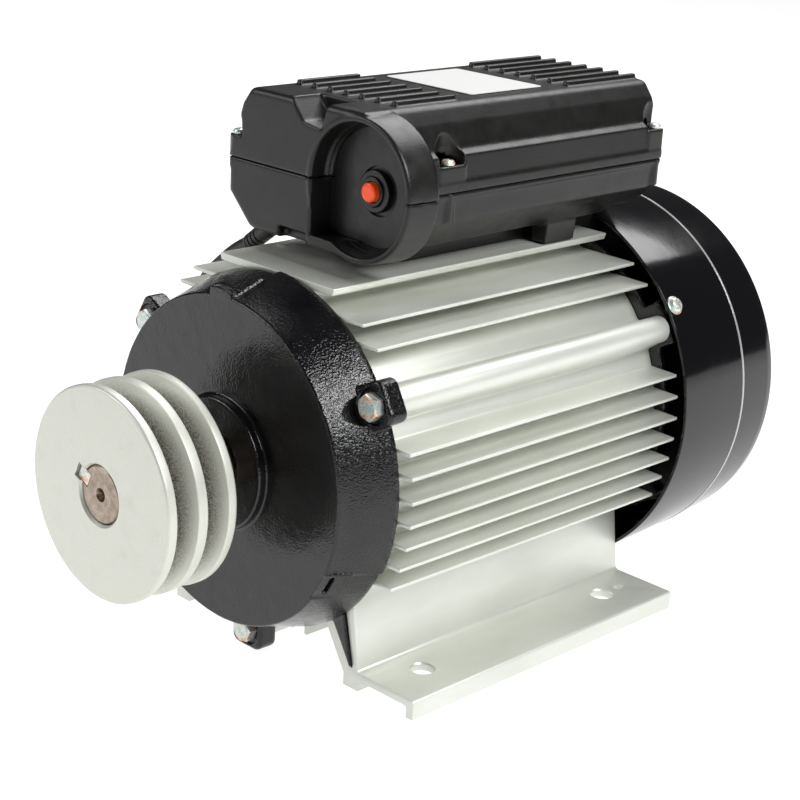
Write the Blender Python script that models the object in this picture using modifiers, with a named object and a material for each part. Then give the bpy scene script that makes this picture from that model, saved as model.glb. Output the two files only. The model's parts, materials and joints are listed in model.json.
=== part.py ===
"""Single-phase electric motor with a finned aluminium frame, a capacitor box and a two-groove pulley.

World frame: +Z up, the feet stand on Z = 0, the shaft lies along Y with the pulley at -Y, and the
origin is under the middle of the motor.  The shaft group is drawn in the datum's own frame: there Y
runs from the pulley's front face towards the fan, and Z is measured from the shaft's centre line.
All numbers are millimetres.
"""

import math

import bmesh
import bpy
from mathutils import Vector

MM = 0.001
GAP = 0.3                       # clearance between touching pieces

# Driving dimensions
SHAFT_HEIGHT = 90.0
LENGTH = 333.0
ROUND = 32                      # facets of a large round piece
INNER = 20                      # facets of a round piece inside the motor
SMALL = 12                      # facets of a small round piece

# Pulley and shaft
PULLEY_RADIUS = 44.0
PULLEY_WIDTH = 33.6
GROOVE_PITCH = 14.8
GROOVE_RADIUS = 32.3
GROOVE_TOP = 10.4
GROOVE_FLOOR = 3.4
SHAFT_RADIUS = 12.0
SHAFT_LENGTH = 318.0
CENTRE_HOLE = 1.8               # radii along the shaft
CORE_SEAT = 15.0
FAN_SEAT = 9.0
KEY_ANGLE = 154.0
KEY_WIDTH = 7.0
KEY_BOTTOM = 8.3
KEY_TOP = 15.8
KEYWAY_TOP = 17.0

# Frame extrusion
FRAME_FRONT = 87.9
FRAME_REAR = 258.1
BORE_RADIUS = 65.3
BARREL_RADIUS = 71.5
FIN_RADIUS = 85.0
FIN_HALF = 1.1
SIDE_FINS = (66.8, 58.9, 21.4, 11.8, 1.8, -8.2, -18.2, -28.2, -38.2)
LOW_FINS = (27.0, 18.0)
LOW_FIN_DEPTH = 76.5
PLATE_TOP = 77.5
PLATE_HALF = 35.2
PLATE_THICK = 3.0
FOOT_EDGE = 92.0
FOOT_TOP = -81.5
FOOT_UNDER = -85.0
FOOT_HOLE_X = 73.4
FOOT_HOLES_Y = (112.0, 230.0)
FOOT_HOLE_RADIUS = 5.0
EARTH_HOLE_Y = 242.7

# Through bolts
BOLT_ANGLES = (30.0, 150.0, 270.0)
BOLT_CIRCLE = 80.7
BOLT_RADIUS = 3.0
BOLT_RIB = 6.8
BOLT_HEAD_FRONT = 74.8
BOLT_HEAD_HEIGHT = 4.5
LUG_FRONT = 79.6

# End bells and bearings
BELL_FACE = 62.0
BELL_FACE_RADIUS = 70.2
BELL_BACK_RADIUS = 77.2
BOSS_FRONT = 57.4
BOSS_RADIUS = 28.5
REAR_BELL_BACK = 272.0
REAR_LUG_BACK = 267.0
FRONT_BEARING = (61.8, 76.8, 12.5, 26.0)     # front, back, bore radius, outer radius
REAR_BEARING = (262.0, 276.0, 10.0, 23.5)
BALLS = 7

# Stator and rotor
CORE_FRONT = 123.0
CORE_REAR = 221.0
STATOR_BORE = 40.0
ROTOR_RADIUS = 39.5
SLOTS = 18

# Cowl and fan
COWL_FRONT = 258.4
COWL_RADIUS = 89.7
COWL_BAND = 305.0
COWL_WALL = 1.4
COWL_SCREW_ANGLES = (35.0, 155.0, 286.0)     # the lowest one keeps its head off the floor
COWL_SCREW_Y = 262.6
FAN_FRONT = 286.0
FAN_BACK = 316.0
FAN_RADIUS = 76.0
BLADES = 8

# Capacitor box
SEAM = 115.0
BOX_FRONT = 100.7
BOX_REAR = 278.7
BOX_TOP = 146.0
BOX_BOTTOM = 87.6
BOX_WALL = 2.5
TUBE_X = 31.7
TUBE_RADIUS = 29.3
TUBE_BACK = 117.0
RECESS_RADIUS = 26.8
RECESS_BACK = 115.0
BUTTON_RADIUS = 4.0
BUTTON_Z = 113.5
BUTTON_TIP = 107.0
RIB_COUNT = 7
RIB_PITCH = 9.43
LID_SCREWS = ((-44.0, 104.6), (44.0, 139.5), (44.0, 274.6), (-44.0, 274.6))
PLATE_LABEL = (28.0, 168.5, 218.0)           # half width, front, rear
LEG = (221.0, 239.0)
STEP_FRONT = 255.0                           # the box's underside steps up over the cowl
STEP_FLOOR = 91.0

# Supply cord, in world millimetres from the floor
CORD_RADIUS = 3.5
GLAND_START = Vector((-22.1, 115.4, 94.0))
GLAND_RUN = Vector((-0.8, 0.0, -0.6))
GLAND_LENGTH = 32.0
CORD_ROUTE = (
    (-48.0, -51.1, 164.6), (-56.3, -51.1, 159.6), (-66.0, -51.0, 152.0), (-79.0, -50.0, 140.0),
    (-89.5, -47.0, 121.0), (-96.0, -41.0, 97.0), (-100.5, -33.0, 73.0), (-104.0, -23.0, 49.0),
    (-106.5, -10.0, 28.0), (-108.0, 6.0, 12.0), (-108.3, 22.0, 4.8), (-108.3, 34.0, 3.6),
    (-108.3, 50.0, 3.6),
)
COIL_CENTRE = (-150.0, 75.0)
COIL_RADII = (30.8, 45.4)
COIL_HEIGHT = 20.0
TAIL_ROUTE = (
    (-191.5, 48.5, 13.4), (-191.6, 38.0, 11.6), (-191.7, 26.0, 10.9), (-191.8, 14.0, 11.9),
    (-192.0, 2.0, 13.4),
)
PLUG_BACK = 1.6
PLUG_AXIS = (-192.0, 13.4)                   # X and height of the pins' centre line

PALETTE = {
    "aluminium": ((0.78, 0.79, 0.76, 1), 0.38, 1.0),
    "black_paint": ((0.012, 0.012, 0.013, 1), 0.16, 0.0),
    "black_plastic": ((0.022, 0.021, 0.021, 1), 0.42, 0.0),
    "steel": ((0.52, 0.49, 0.46, 1), 0.32, 1.0),
    "zinc": ((0.70, 0.72, 0.72, 1), 0.28, 1.0),
    "silicon_steel": ((0.30, 0.30, 0.31, 1), 0.45, 1.0),
    "copper": ((0.72, 0.30, 0.14, 1), 0.35, 1.0),
    "rubber": ((0.018, 0.018, 0.018, 1), 0.70, 0.0),
    "red_plastic": ((0.85, 0.07, 0.02, 1), 0.30, 0.0),
    "label": ((0.86, 0.86, 0.85, 1), 0.45, 0.0),
    "cream_plastic": ((0.75, 0.70, 0.58, 1), 0.40, 0.0),
    "brass": ((0.78, 0.58, 0.24, 1), 0.30, 1.0),
}


def clear_scene():
    for item in list(bpy.context.scene.objects):
        bpy.data.objects.remove(item, do_unlink=True)


def new_collection(name):
    collection = bpy.data.collections.new(name)
    bpy.context.scene.collection.children.link(collection)
    return collection


def material(name):
    found = bpy.data.materials.get(name)
    if found:
        return found
    colour, roughness, metallic = PALETTE[name]
    made = bpy.data.materials.new(name)
    made.use_nodes = True
    shader = made.node_tree.nodes["Principled BSDF"]
    shader.inputs["Base Color"].default_value = colour
    shader.inputs["Roughness"].default_value = roughness
    shader.inputs["Metallic"].default_value = metallic
    return made


def place(name, data, finish=None, datum=None):
    """Link an object: a part when it has a finish, otherwise a hidden cutting or joining tool."""
    item = bpy.data.objects.new(name, data)
    if finish:
        PARTS.objects.link(item)
        data.materials.append(material(finish))
    else:
        TOOLS.objects.link(item)
        item.hide_render = True
        item.display_type = "WIRE"
    item.parent = datum
    return item


def turned(name, profile, finish=None, axis="Y", at=(0, 0, 0), segments=ROUND, datum=True):
    """Solid of revolution about an axis; the profile holds (radius, distance along the axis)."""
    outline = list(profile)
    following = outline[1:] + outline[:1]
    if sum(r0 * h1 - r1 * h0 for (r0, h0), (r1, h1) in zip(outline, following)) > 0:
        outline.reverse()
    mesh = bpy.data.meshes.new(name)
    count = len(outline)
    edges = [(i, i + 1) for i in range(count - 1)]
    if min(radius for radius, _ in outline) > 0:
        edges.append((count - 1, 0))
    mesh.from_pydata([(r * MM, 0, h * MM) for r, h in outline], edges, [])
    item = place(name, mesh, finish, DATUM if datum else None)
    item.location = Vector(at) * MM
    item.rotation_euler = {"X": (0, math.pi / 2, 0), "Y": (-math.pi / 2, 0, 0), "Z": (0, 0, 0)}[axis]
    screw = item.modifiers.new("turn", "SCREW")
    screw.steps = segments
    screw.render_steps = segments
    screw.use_merge_vertices = True
    screw.merge_threshold = 0.000001
    return item


def cylinder(name, radius, start, end, finish=None, axis="Y", at=(0, 0, 0), segments=SMALL):
    profile = [(0, start), (radius, start), (radius, end), (0, end)]
    return turned(name, profile, finish, axis, at, segments)


def ring(name, inner, outer, start, end, finish=None, segments=ROUND):
    return turned(name, [(inner, start), (outer, start), (outer, end), (inner, end)], finish,
                  segments=segments)


def extruded(name, loops, front, rear, finish=None):
    """Outline in the X-Z plane, extruded along Y; loops after the first are holes."""
    curve = bpy.data.curves.new(name, "CURVE")
    curve.dimensions = "2D"
    curve.fill_mode = "BOTH"
    curve.extrude = (rear - front) / 2 * MM
    for loop in loops:
        spline = curve.splines.new("POLY")
        spline.points.add(len(loop) - 1)
        spline.use_cyclic_u = True
        for point, (x, z) in zip(spline.points, loop):
            point.co = (x * MM, z * MM, 0, 1)
    guide = bpy.data.objects.new(name + "_outline", curve)
    TOOLS.objects.link(guide)
    bpy.context.view_layer.update()
    solid = guide.evaluated_get(bpy.context.evaluated_depsgraph_get())
    mesh = bpy.data.meshes.new_from_object(solid)
    bpy.data.objects.remove(guide, do_unlink=True)
    weld(mesh)
    mesh.materials.clear()
    item = place(name, mesh, finish, DATUM)
    item.location = (0, (front + rear) / 2 * MM, 0)
    item.rotation_euler = (math.pi / 2, 0, 0)
    return item


def weld(mesh):
    work = bmesh.new()
    work.from_mesh(mesh)
    bmesh.ops.remove_doubles(work, verts=work.verts, dist=0.000005)
    bmesh.ops.recalc_face_normals(work, faces=work.faces)
    work.to_mesh(mesh)
    work.free()


def blocks(name, boxes, finish=None, turn=0.0):
    """One mesh of boxes, each (low corner, high corner), turned about the shaft line."""
    mesh = bpy.data.meshes.new(name)
    work = bmesh.new()
    for low, high in boxes:
        cube = bmesh.ops.create_cube(work, size=1)["verts"]
        size = Vector(high) - Vector(low)
        bmesh.ops.scale(work, vec=size * MM, verts=cube)
        bmesh.ops.translate(work, vec=(Vector(low) + size / 2) * MM, verts=cube)
    work.to_mesh(mesh)
    work.free()
    item = place(name, mesh, finish, DATUM)
    item.rotation_euler = (0, -math.radians(turn), 0)
    return item


def combine(item, operation, *tools):
    """Boolean each tool into an item and leave the tools as hidden guides."""
    for tool in tools:
        step = item.modifiers.new(operation.lower(), "BOOLEAN")
        step.operation = operation
        step.object = tool
        step.solver = "EXACT"
    return item


def cut(item, *tools):
    return combine(item, "DIFFERENCE", *tools)


def join(item, *tools):
    return combine(item, "UNION", *tools)


def polar(radius, angle):
    """Point (x, z) at a radius and an angle in degrees from +X towards +Z."""
    return radius * math.cos(math.radians(angle)), radius * math.sin(math.radians(angle))


def arc(radius, first, last, count, centre=(0, 0)):
    steps = [first + (last - first) * i / (count - 1) for i in range(count)]
    return [(centre[0] + polar(radius, a)[0], centre[1] + polar(radius, a)[1]) for a in steps]


def circle(radius, count=ROUND, centre=(0, 0)):
    return arc(radius, 0, 360 - 360 / count, count, centre)


def mirrored(half):
    """Close an outline from its right half, given from top to bottom."""
    return half + [(-x, z) for x, z in reversed(half)]


def bolt_holes(name, radius, front, rear):
    """Three rods on the bolt circle, as one cutting tool."""
    mesh = bpy.data.meshes.new(name)
    work = bmesh.new()
    for angle in BOLT_ANGLES:
        x, z = polar(BOLT_CIRCLE, angle)
        made = bmesh.ops.create_cone(work, cap_ends=True, segments=12, radius1=radius * MM,
                                     radius2=radius * MM, depth=(rear - front) * MM)["verts"]
        bmesh.ops.translate(work, vec=(x * MM, -z * MM, (front + rear) / 2 * MM), verts=made)
    work.to_mesh(mesh)
    work.free()
    item = place(name, mesh, None, DATUM)
    item.rotation_euler = (-math.pi / 2, 0, 0)
    return item


# Frame -------------------------------------------------------------------------------------------

def on_barrel(z):
    return math.sqrt(BARREL_RADIUS ** 2 - z ** 2), z


def fin_points(z):
    tip = math.sqrt(FIN_RADIUS ** 2 - z ** 2)
    return [on_barrel(z + FIN_HALF), (tip, z + FIN_HALF * 0.7), (tip, z - FIN_HALF * 0.7),
            on_barrel(z - FIN_HALF)]


def bolt_rib_points(angle):
    """Rounded channel on the barrel around one bolt, from higher to lower angle."""
    centre = polar(BOLT_CIRCLE, angle)
    return [polar(BARREL_RADIUS, angle + 6)] + arc(BOLT_RIB, angle + 100, angle - 100, 9, centre) + [
        polar(BARREL_RADIUS, angle - 6)]


def frame_half():
    """Right half of the frame's section, from the top centre round to the bottom centre."""
    neck = 20.0
    half = [(0, PLATE_TOP), (PLATE_HALF, PLATE_TOP), (PLATE_HALF - 1.2, PLATE_TOP - PLATE_THICK),
            (neck, PLATE_TOP - PLATE_THICK - 0.4), (neck, math.sqrt(BARREL_RADIUS ** 2 - neck ** 2))]
    for z in SIDE_FINS[:2]:
        half += fin_points(z)
    half += bolt_rib_points(BOLT_ANGLES[0])
    for z in SIDE_FINS[2:]:
        half += fin_points(z)
    half += [on_barrel(-46.5), (59.2, FOOT_TOP), (FOOT_EDGE - 1, FOOT_TOP), (FOOT_EDGE, FOOT_TOP - 1),
             (FOOT_EDGE, -SHAFT_HEIGHT), (FOOT_EDGE - 4, -SHAFT_HEIGHT), (FOOT_EDGE - 4, FOOT_UNDER),
             (60, FOOT_UNDER), (60, -SHAFT_HEIGHT), (51, -SHAFT_HEIGHT), (51, -84.5), (38.6, -64.8),
             on_barrel(-62.5)]
    for x in LOW_FINS:
        root = -math.sqrt(BARREL_RADIUS ** 2 - (x + FIN_HALF) ** 2)
        inner = -math.sqrt(BARREL_RADIUS ** 2 - (x - FIN_HALF) ** 2)
        half += [(x + FIN_HALF, root), (x + FIN_HALF, -LOW_FIN_DEPTH), (x - FIN_HALF, -LOW_FIN_DEPTH),
                 (x - FIN_HALF, inner)]
    below = bolt_rib_points(BOLT_ANGLES[2] + 360)
    half += [(x, z) for x, z in below if x > 0.01]
    half.append((0, polar(BOLT_CIRCLE, BOLT_ANGLES[2])[1] - BOLT_RIB))
    return half


def web_void(side):
    """Hollow between the two thin webs that carry a foot."""
    return [(side * x, z) for x, z in ((42.8, -61.8), (50.7, -55.3), (56.3, -80.2), (55.2, -80.6))]


def make_frame():
    half = frame_half()
    left = [(-x, z) for x, z in reversed(half) if x > 0.01]
    frame = extruded("motor_frame", [half + left, circle(BORE_RADIUS),
                                     web_void(1), web_void(-1)], FRAME_FRONT, FRAME_REAR, "aluminium")
    cut(frame, bolt_holes("frame_bolt_ways", BOLT_RADIUS + GAP, 80, 265))
    for side in (-1, 1):
        for number, y in enumerate(FOOT_HOLES_Y):
            hole = cylinder(f"foot_hole_{side}_{number}", FOOT_HOLE_RADIUS, -95, -75, axis="Z",
                            at=(side * FOOT_HOLE_X, y, 0))
            cut(frame, hole)
        cut(frame, cylinder(f"earth_hole_{side}", 1.7, -95, -75, axis="Z",
                            at=(side * (FOOT_HOLE_X - 1), EARTH_HOLE_Y, 0), segments=12))
    return cut(frame, cylinder("frame_lead_window", 9, 55, 85, axis="Z", at=(0, 170, 0)))


# End bells, bolts and bearings -------------------------------------------------------------------

def lugs(name, inner, outer, half, front, rear, angles=BOLT_ANGLES):
    """Three radial blocks, as one joining tool."""
    mesh = bpy.data.meshes.new(name)
    work = bmesh.new()
    for angle in angles:
        cube = bmesh.ops.create_cube(work, size=1)["verts"]
        bmesh.ops.scale(work, vec=((outer - inner) * MM, (rear - front) * MM, 2 * half * MM), verts=cube)
        bmesh.ops.translate(work, vec=((outer + inner) / 2 * MM, (front + rear) / 2 * MM, 0), verts=cube)
        turn = -math.radians(angle)
        cosine, sine = math.cos(turn), math.sin(turn)
        for vertex in cube:
            x, y, z = vertex.co
            vertex.co = (x * cosine + z * sine, y, z * cosine - x * sine)
    work.to_mesh(mesh)
    work.free()
    return place(name, mesh, None, DATUM)


def make_front_bell():
    front, back, _, outer = FRONT_BEARING
    spigot = BORE_RADIUS - GAP
    flange = FRAME_FRONT - GAP
    profile = [(15, BOSS_FRONT), (BOSS_RADIUS, BOSS_FRONT), (BOSS_RADIUS, BELL_FACE),
               (BELL_FACE_RADIUS, BELL_FACE), (BELL_BACK_RADIUS, 85.4), (BELL_BACK_RADIUS, flange),
               (spigot, flange), (spigot, 92), (60, 92), (58, 69), (31, 69), (31, back + 1),
               (outer + GAP, back + 1), (outer + GAP, front - GAP), (15, front - GAP)]
    bell = turned("front_end_bell", profile, "black_paint")
    join(bell, lugs("front_lugs", 68, 89, 8.2, LUG_FRONT, flange))
    cut(bell, bolt_holes("front_lug_holes", BOLT_RADIUS + GAP, 60, 95))
    for side in (-1, 1):
        tongue = [(side * x, z) for x, z in ((43.6, -61.6), (50.4, -56.0), (55.7, -79.4), (55.2, -79.6))]
        plug = extruded(f"bell_tongue_{side}", [tongue], 86, 91)
        join(bell, plug)
    return bell


def make_rear_bell():
    front, back, _, outer = REAR_BEARING
    spigot = BORE_RADIUS - GAP
    face = FRAME_REAR + GAP
    profile = [(60, 253), (spigot, 253), (spigot, face), (77, face), (77, 261.5), (64, REAR_BELL_BACK - 3),
               (30, REAR_BELL_BACK), (28.5, 280.5), (12.5, 280.5), (12.5, back + 1),
               (outer + GAP, back + 1), (outer + GAP, front - 1), (30, front - 1), (56, 263), (60, 259)]
    bell = turned("rear_end_bell", profile, "black_paint")
    join(bell, lugs("rear_lugs", 64, 86, 8.2, face, REAR_LUG_BACK))
    join(bell, lugs("rear_screw_lugs", 64, 85.8, 5, face + 0.01, REAR_LUG_BACK - 0.01, COWL_SCREW_ANGLES))
    cut(bell, bolt_holes("rear_lug_holes", BOLT_RADIUS + GAP, 250, 275))
    for number, angle in enumerate(COWL_SCREW_ANGLES):
        cut(bell, radial_rod(f"cowl_screw_hole_{number}", 2.3, 84.8, 92, angle))
    return bell


def radial_rod(name, radius, inner, outer, angle, finish=None, profile=None):
    """Rod or turned piece whose axis is a radius of the motor, at the cowl screws' place."""
    shape = profile or [(0, inner), (radius, inner), (radius, outer), (0, outer)]
    rod = turned(name, shape, finish, "Z", (0, COWL_SCREW_Y, 0), 10)
    rod.rotation_euler = (0, math.radians(90 - angle), 0)
    return rod


def hexagon(name, across, front, rear, at, finish=None):
    x, z = at
    corner = across / math.sqrt(3)
    return extruded(name, [arc(corner, 0, 300, 6, (x, z))], front, rear, finish)


def make_bolts():
    for number, angle in enumerate(BOLT_ANGLES, 1):
        x, z = polar(BOLT_CIRCLE, angle)
        head_back = BOLT_HEAD_FRONT + BOLT_HEAD_HEIGHT
        bolt = cylinder(f"through_bolt_{number}", BOLT_RADIUS, head_back - 1, REAR_LUG_BACK + 7, "zinc",
                        at=(x, 0, z), segments=12)
        join(bolt, hexagon(f"bolt_head_{number}", 10, BOLT_HEAD_FRONT, head_back, (x, z)))
        nut = hexagon(f"bolt_nut_{number}", 10, REAR_LUG_BACK + GAP, REAR_LUG_BACK + 5.3, (x, z), "zinc")
        cut(nut, cylinder(f"nut_thread_{number}", BOLT_RADIUS + GAP, REAR_LUG_BACK - 2,
                          REAR_LUG_BACK + 9, at=(x, 0, z), segments=12))


def make_bearing(label, bearing):
    """Ball bearing: outer ring, inner ring, and the balls in their cage."""
    front, back, inner, outer = bearing
    middle = (front + back) / 2
    pitch = (inner + outer) / 2
    ball = (outer - inner) * 0.29
    ring(f"{label}_bearing_outer_ring", pitch + ball + GAP, outer, front, back, "steel", INNER)
    ring(f"{label}_bearing_inner_ring", inner + GAP, pitch - ball - GAP, front, back, "steel", INNER)
    cage = ring(f"{label}_bearing_ball_cage", pitch - 1.1, pitch + 1.1, middle - 3.2, middle + 3.2,
                "brass", 2 * BALLS)
    mesh = bpy.data.meshes.new(f"{label}_balls")
    work = bmesh.new()
    for number in range(BALLS):
        x, z = polar(pitch, number * 360 / BALLS)
        made = bmesh.ops.create_uvsphere(work, u_segments=6, v_segments=4, radius=ball * MM)["verts"]
        bmesh.ops.translate(work, vec=(x * MM, middle * MM, z * MM), verts=made)
    work.to_mesh(mesh)
    work.free()
    join(cage, place(f"{label}_balls", mesh, None, DATUM))


# Shaft, rotor and pulley -------------------------------------------------------------------------

def make_shaft():
    f0, f1, front_journal, _ = FRONT_BEARING
    r0, r1, rear_journal, _ = REAR_BEARING
    profile = [(0, 5), (CENTRE_HOLE, 4), (CENTRE_HOLE, GAP), (SHAFT_RADIUS, GAP), (SHAFT_RADIUS, f0 - 1),
               (front_journal, f0 - 1), (front_journal, f1), (14, f1), (14, CORE_FRONT - 14),
               (CORE_SEAT, CORE_FRONT - 14), (CORE_SEAT, CORE_REAR + 8), (12, CORE_REAR + 8),
               (12, r0), (rear_journal, r0), (rear_journal, r1 + 2), (FAN_SEAT, r1 + 2),
               (FAN_SEAT, SHAFT_LENGTH), (0, SHAFT_LENGTH)]
    shaft = turned("shaft", profile, "steel", segments=INNER)
    slot = blocks("shaft_keyway", [((KEY_BOTTOM - GAP, -2, -KEY_WIDTH / 2 - GAP),
                                    (20, PULLEY_WIDTH + 1, KEY_WIDTH / 2 + GAP))], turn=KEY_ANGLE)
    cut(shaft, slot)
    blocks("shaft_key", [((KEY_BOTTOM, 0.6, -KEY_WIDTH / 2), (KEY_TOP, PULLEY_WIDTH, KEY_WIDTH / 2))],
           "steel", KEY_ANGLE)


def pulley_profile():
    outline = [(SHAFT_RADIUS + GAP, 0), (PULLEY_RADIUS - 1, 0), (PULLEY_RADIUS, 1)]
    first = PULLEY_WIDTH / 2 - GROOVE_PITCH / 2
    for centre in (first, first + GROOVE_PITCH):
        outline += [(PULLEY_RADIUS, centre - GROOVE_TOP / 2), (GROOVE_RADIUS, centre - GROOVE_FLOOR / 2),
                    (GROOVE_RADIUS, centre + GROOVE_FLOOR / 2), (PULLEY_RADIUS, centre + GROOVE_TOP / 2)]
    return outline + [(PULLEY_RADIUS, PULLEY_WIDTH - 1), (PULLEY_RADIUS - 1, PULLEY_WIDTH),
                      (SHAFT_RADIUS + GAP, PULLEY_WIDTH)]


def make_pulley():
    pulley = turned("drive_pulley", pulley_profile(), "aluminium")
    slot = blocks("pulley_keyway", [((SHAFT_RADIUS - 4, -2, -KEY_WIDTH / 2 - GAP),
                                     (KEYWAY_TOP, PULLEY_WIDTH + 2, KEY_WIDTH / 2 + GAP))],
                  turn=KEY_ANGLE)
    cut(pulley, slot)
    seat = PULLEY_WIDTH / 2 + GROOVE_PITCH / 2
    hole = turned("set_screw_hole", [(0, 15), (1.8, 15), (1.8, 40), (0, 40)], None, "Z", (0, seat, 0), 10)
    hole.rotation_euler = (0, math.radians(90 - KEY_ANGLE), 0)
    cut(pulley, hole)
    screw = turned("pulley_set_screw", [(0, KEY_TOP + GAP), (1.5, KEY_TOP + GAP), (1.5, 26), (0, 26)],
                   "steel", "Z", (0, seat, 0), 10)
    screw.rotation_euler = (0, math.radians(90 - KEY_ANGLE), 0)


def make_rotor():
    ring("rotor_core", CORE_SEAT + GAP, ROTOR_RADIUS, CORE_FRONT, CORE_REAR, "silicon_steel", INNER)
    ring("rotor_front_end_ring", 25, 38.5, CORE_FRONT - 10, CORE_FRONT - GAP, "aluminium", INNER)
    ring("rotor_rear_end_ring", 25, 38.5, CORE_REAR + GAP, CORE_REAR + 10, "aluminium", INNER)


def stator_slots():
    """Inner outline of the stator core: the bore with its open winding slots."""
    outline = []
    pitch = 360 / SLOTS
    for number in range(SLOTS):
        start = number * pitch
        outline += [polar(STATOR_BORE, start), polar(STATOR_BORE, start + pitch * 0.40),
                    polar(STATOR_BORE + 12, start + pitch * 0.30),
                    polar(STATOR_BORE + 12, start + pitch * 0.85),
                    polar(STATOR_BORE, start + pitch * 0.72)]
    return outline


def make_stator():
    extruded("stator_core", [circle(BORE_RADIUS - GAP), stator_slots()], CORE_FRONT, CORE_REAR, "silicon_steel")
    for name, start, end in (("front_winding_overhang", CORE_FRONT - 24, CORE_FRONT - GAP),
                             ("rear_winding_overhang", CORE_REAR + GAP, CORE_REAR + 24)):
        middle = (start + end) / 2
        turned(name, [(43, middle), (48, start), (56, start), (59, middle), (56, end), (48, end)],
               "copper", segments=INNER)


def make_shaft_seal():
    front = BOSS_FRONT + 0.4
    turned("front_shaft_seal", [(SHAFT_RADIUS + GAP, front + 1.2), (14.7, front), (14.7, front + 3.4),
                                (SHAFT_RADIUS + GAP, front + 2)], "rubber", segments=INNER)
    _, back, _, outer = REAR_BEARING
    ring("rear_preload_washer", outer - 4, outer - 0.6, back + GAP, back + 0.75, "steel", INNER)


def make_centrifugal_switch():
    plate = CORE_REAR + 26
    ring("governor_weight_plate", 12 + GAP, 27, plate, plate + 2, "steel", INNER)
    turned("governor_collar", [(12 + GAP, plate + 5), (17, plate + 5), (17, plate + 7),
                               (23, plate + 7), (23, plate + 8.6), (12 + GAP, plate + 8.6)],
           "cream_plastic", segments=INNER)
    ring("starting_switch_plate", 19, 45, 261 - 4.6, 261 - 2.4, "cream_plastic", INNER)


# Fan and cowl ------------------------------------------------------------------------------------

def make_fan():
    hub = [(FAN_SEAT + GAP, FAN_FRONT), (20, FAN_FRONT), (24, FAN_FRONT + 4), (FAN_RADIUS, FAN_FRONT + 10),
           (FAN_RADIUS, FAN_FRONT + 12), (24, FAN_FRONT + 8), (19, FAN_FRONT + 24),
           (FAN_SEAT + GAP, FAN_FRONT + 24)]
    fan = turned("cooling_fan", hub, "black_plastic", segments=24)
    for number in range(BLADES):
        blade = blocks(f"fan_blade_{number}", [((17, FAN_FRONT + 6, -1.2), (FAN_RADIUS - 1, FAN_BACK - 4, 1.2))],
                       turn=number * 360 / BLADES)
        join(fan, blade)
    ring("fan_retaining_ring", FAN_SEAT + GAP, 12.5, FAN_FRONT + 24 + GAP, FAN_FRONT + 25.6, "steel", 16)


def cowl_profile():
    wall = COWL_WALL
    outer = [(COWL_RADIUS, COWL_FRONT), (COWL_RADIUS - 1.9, COWL_BAND - 1), (COWL_RADIUS - 2.7, COWL_BAND),
             (COWL_RADIUS - 3.1, LENGTH - 7), (COWL_RADIUS - 5, LENGTH - 2.2), (COWL_RADIUS - 9, LENGTH),
             (0, LENGTH)]
    inner = [(0, LENGTH - wall), (COWL_RADIUS - 9.6, LENGTH - wall), (COWL_RADIUS - 6, LENGTH - 3.4),
             (COWL_RADIUS - 3.1 - wall, LENGTH - 7.6), (COWL_RADIUS - 2.7 - wall, COWL_BAND + 0.4),
             (COWL_RADIUS - 1.9 - wall, COWL_BAND - 1.4), (COWL_RADIUS - wall, COWL_FRONT)]
    return inner + outer


def make_cowl():
    cowl = turned("fan_cowl", cowl_profile(), "black_paint")
    slots = bpy.data.meshes.new("cowl_slots")
    work = bmesh.new()
    for row, (inner, outer, count) in enumerate(((16, 40, 5), (45, 72, 10))):
        for number in range(count):
            cube = bmesh.ops.create_cube(work, size=1)["verts"]
            bmesh.ops.scale(work, vec=((outer - inner) * MM, 12 * MM, 8 * MM), verts=cube)
            bmesh.ops.translate(work, vec=((outer + inner) / 2 * MM, LENGTH * MM, 0), verts=cube)
            turn = math.radians((number + 0.5 * row) * 360 / count)
            for vertex in cube:
                x, y, z = vertex.co
                vertex.co = (x * math.cos(turn) - z * math.sin(turn), y,
                             x * math.sin(turn) + z * math.cos(turn))
    work.to_mesh(slots)
    work.free()
    cut(cowl, place("cowl_slots", slots, None, DATUM))
    for number, angle in enumerate(COWL_SCREW_ANGLES, 1):
        cut(cowl, radial_rod(f"cowl_hole_{number}", 2.4, 80, 95, angle))
        head = [(0, 85.2), (2, 85.2), (2, COWL_RADIUS + 0.3), (4.4, COWL_RADIUS + 0.3),
                (3.4, COWL_RADIUS + 2.4), (0, COWL_RADIUS + 3)]
        radial_rod(f"cowl_screw_{number}", 0, 0, 0, angle, "zinc", head)


# Capacitor box -----------------------------------------------------------------------------------

LID_HALF = [(30.6, BOX_TOP), (33.8, 143.8), (39.3, 137.6), (40.8, 127.2), (47.2, 127.2), (47.9, 126.2),
            (47.9, SEAM + 0.2)]
LID_CAVITY = [(29, 143.4), (31.6, 142), (36.6, 136.4), (38.2, 124.6), (45.2, 124.2), (45.2, 100)]
BASE_HALF = [(47.7, SEAM - 0.2), (46.7, 110.9), (44.9, 100.4), (38, 93.2), (32.7, 88.4), (30, BOX_BOTTOM)]
BASE_CAVITY = [(45.2, SEAM + 12), (44.2, 110.6), (42.4, 101.6), (36.6, 95.4), (31.6, 90.9), (29, 90.2)]


def slab(name, outline_half, front, rear, finish=None):
    return extruded(name, [mirrored(outline_half)], front, rear, finish)


def tube_half(name, radius, front, rear, upper):
    """Half of the round housing around the reset panel, above or below the seam."""
    level = SEAM + (0.2 if upper else -0.2)
    first, last = (0, 180) if upper else (180, 360)
    return extruded(name, [arc(radius, first, last, 13, (TUBE_X, level))], front, rear)


def lid_rib_boxes():
    boxes = []
    for front, rear in ((122.5, 157.5), (228.0, 276.0)):
        for number in range(RIB_COUNT):
            x = (number - (RIB_COUNT - 1) / 2) * RIB_PITCH
            boxes.append(((x - 1.3, front, BOX_TOP - 1), (x + 1.3, rear, BOX_TOP + 2.2)))
    return boxes


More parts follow.
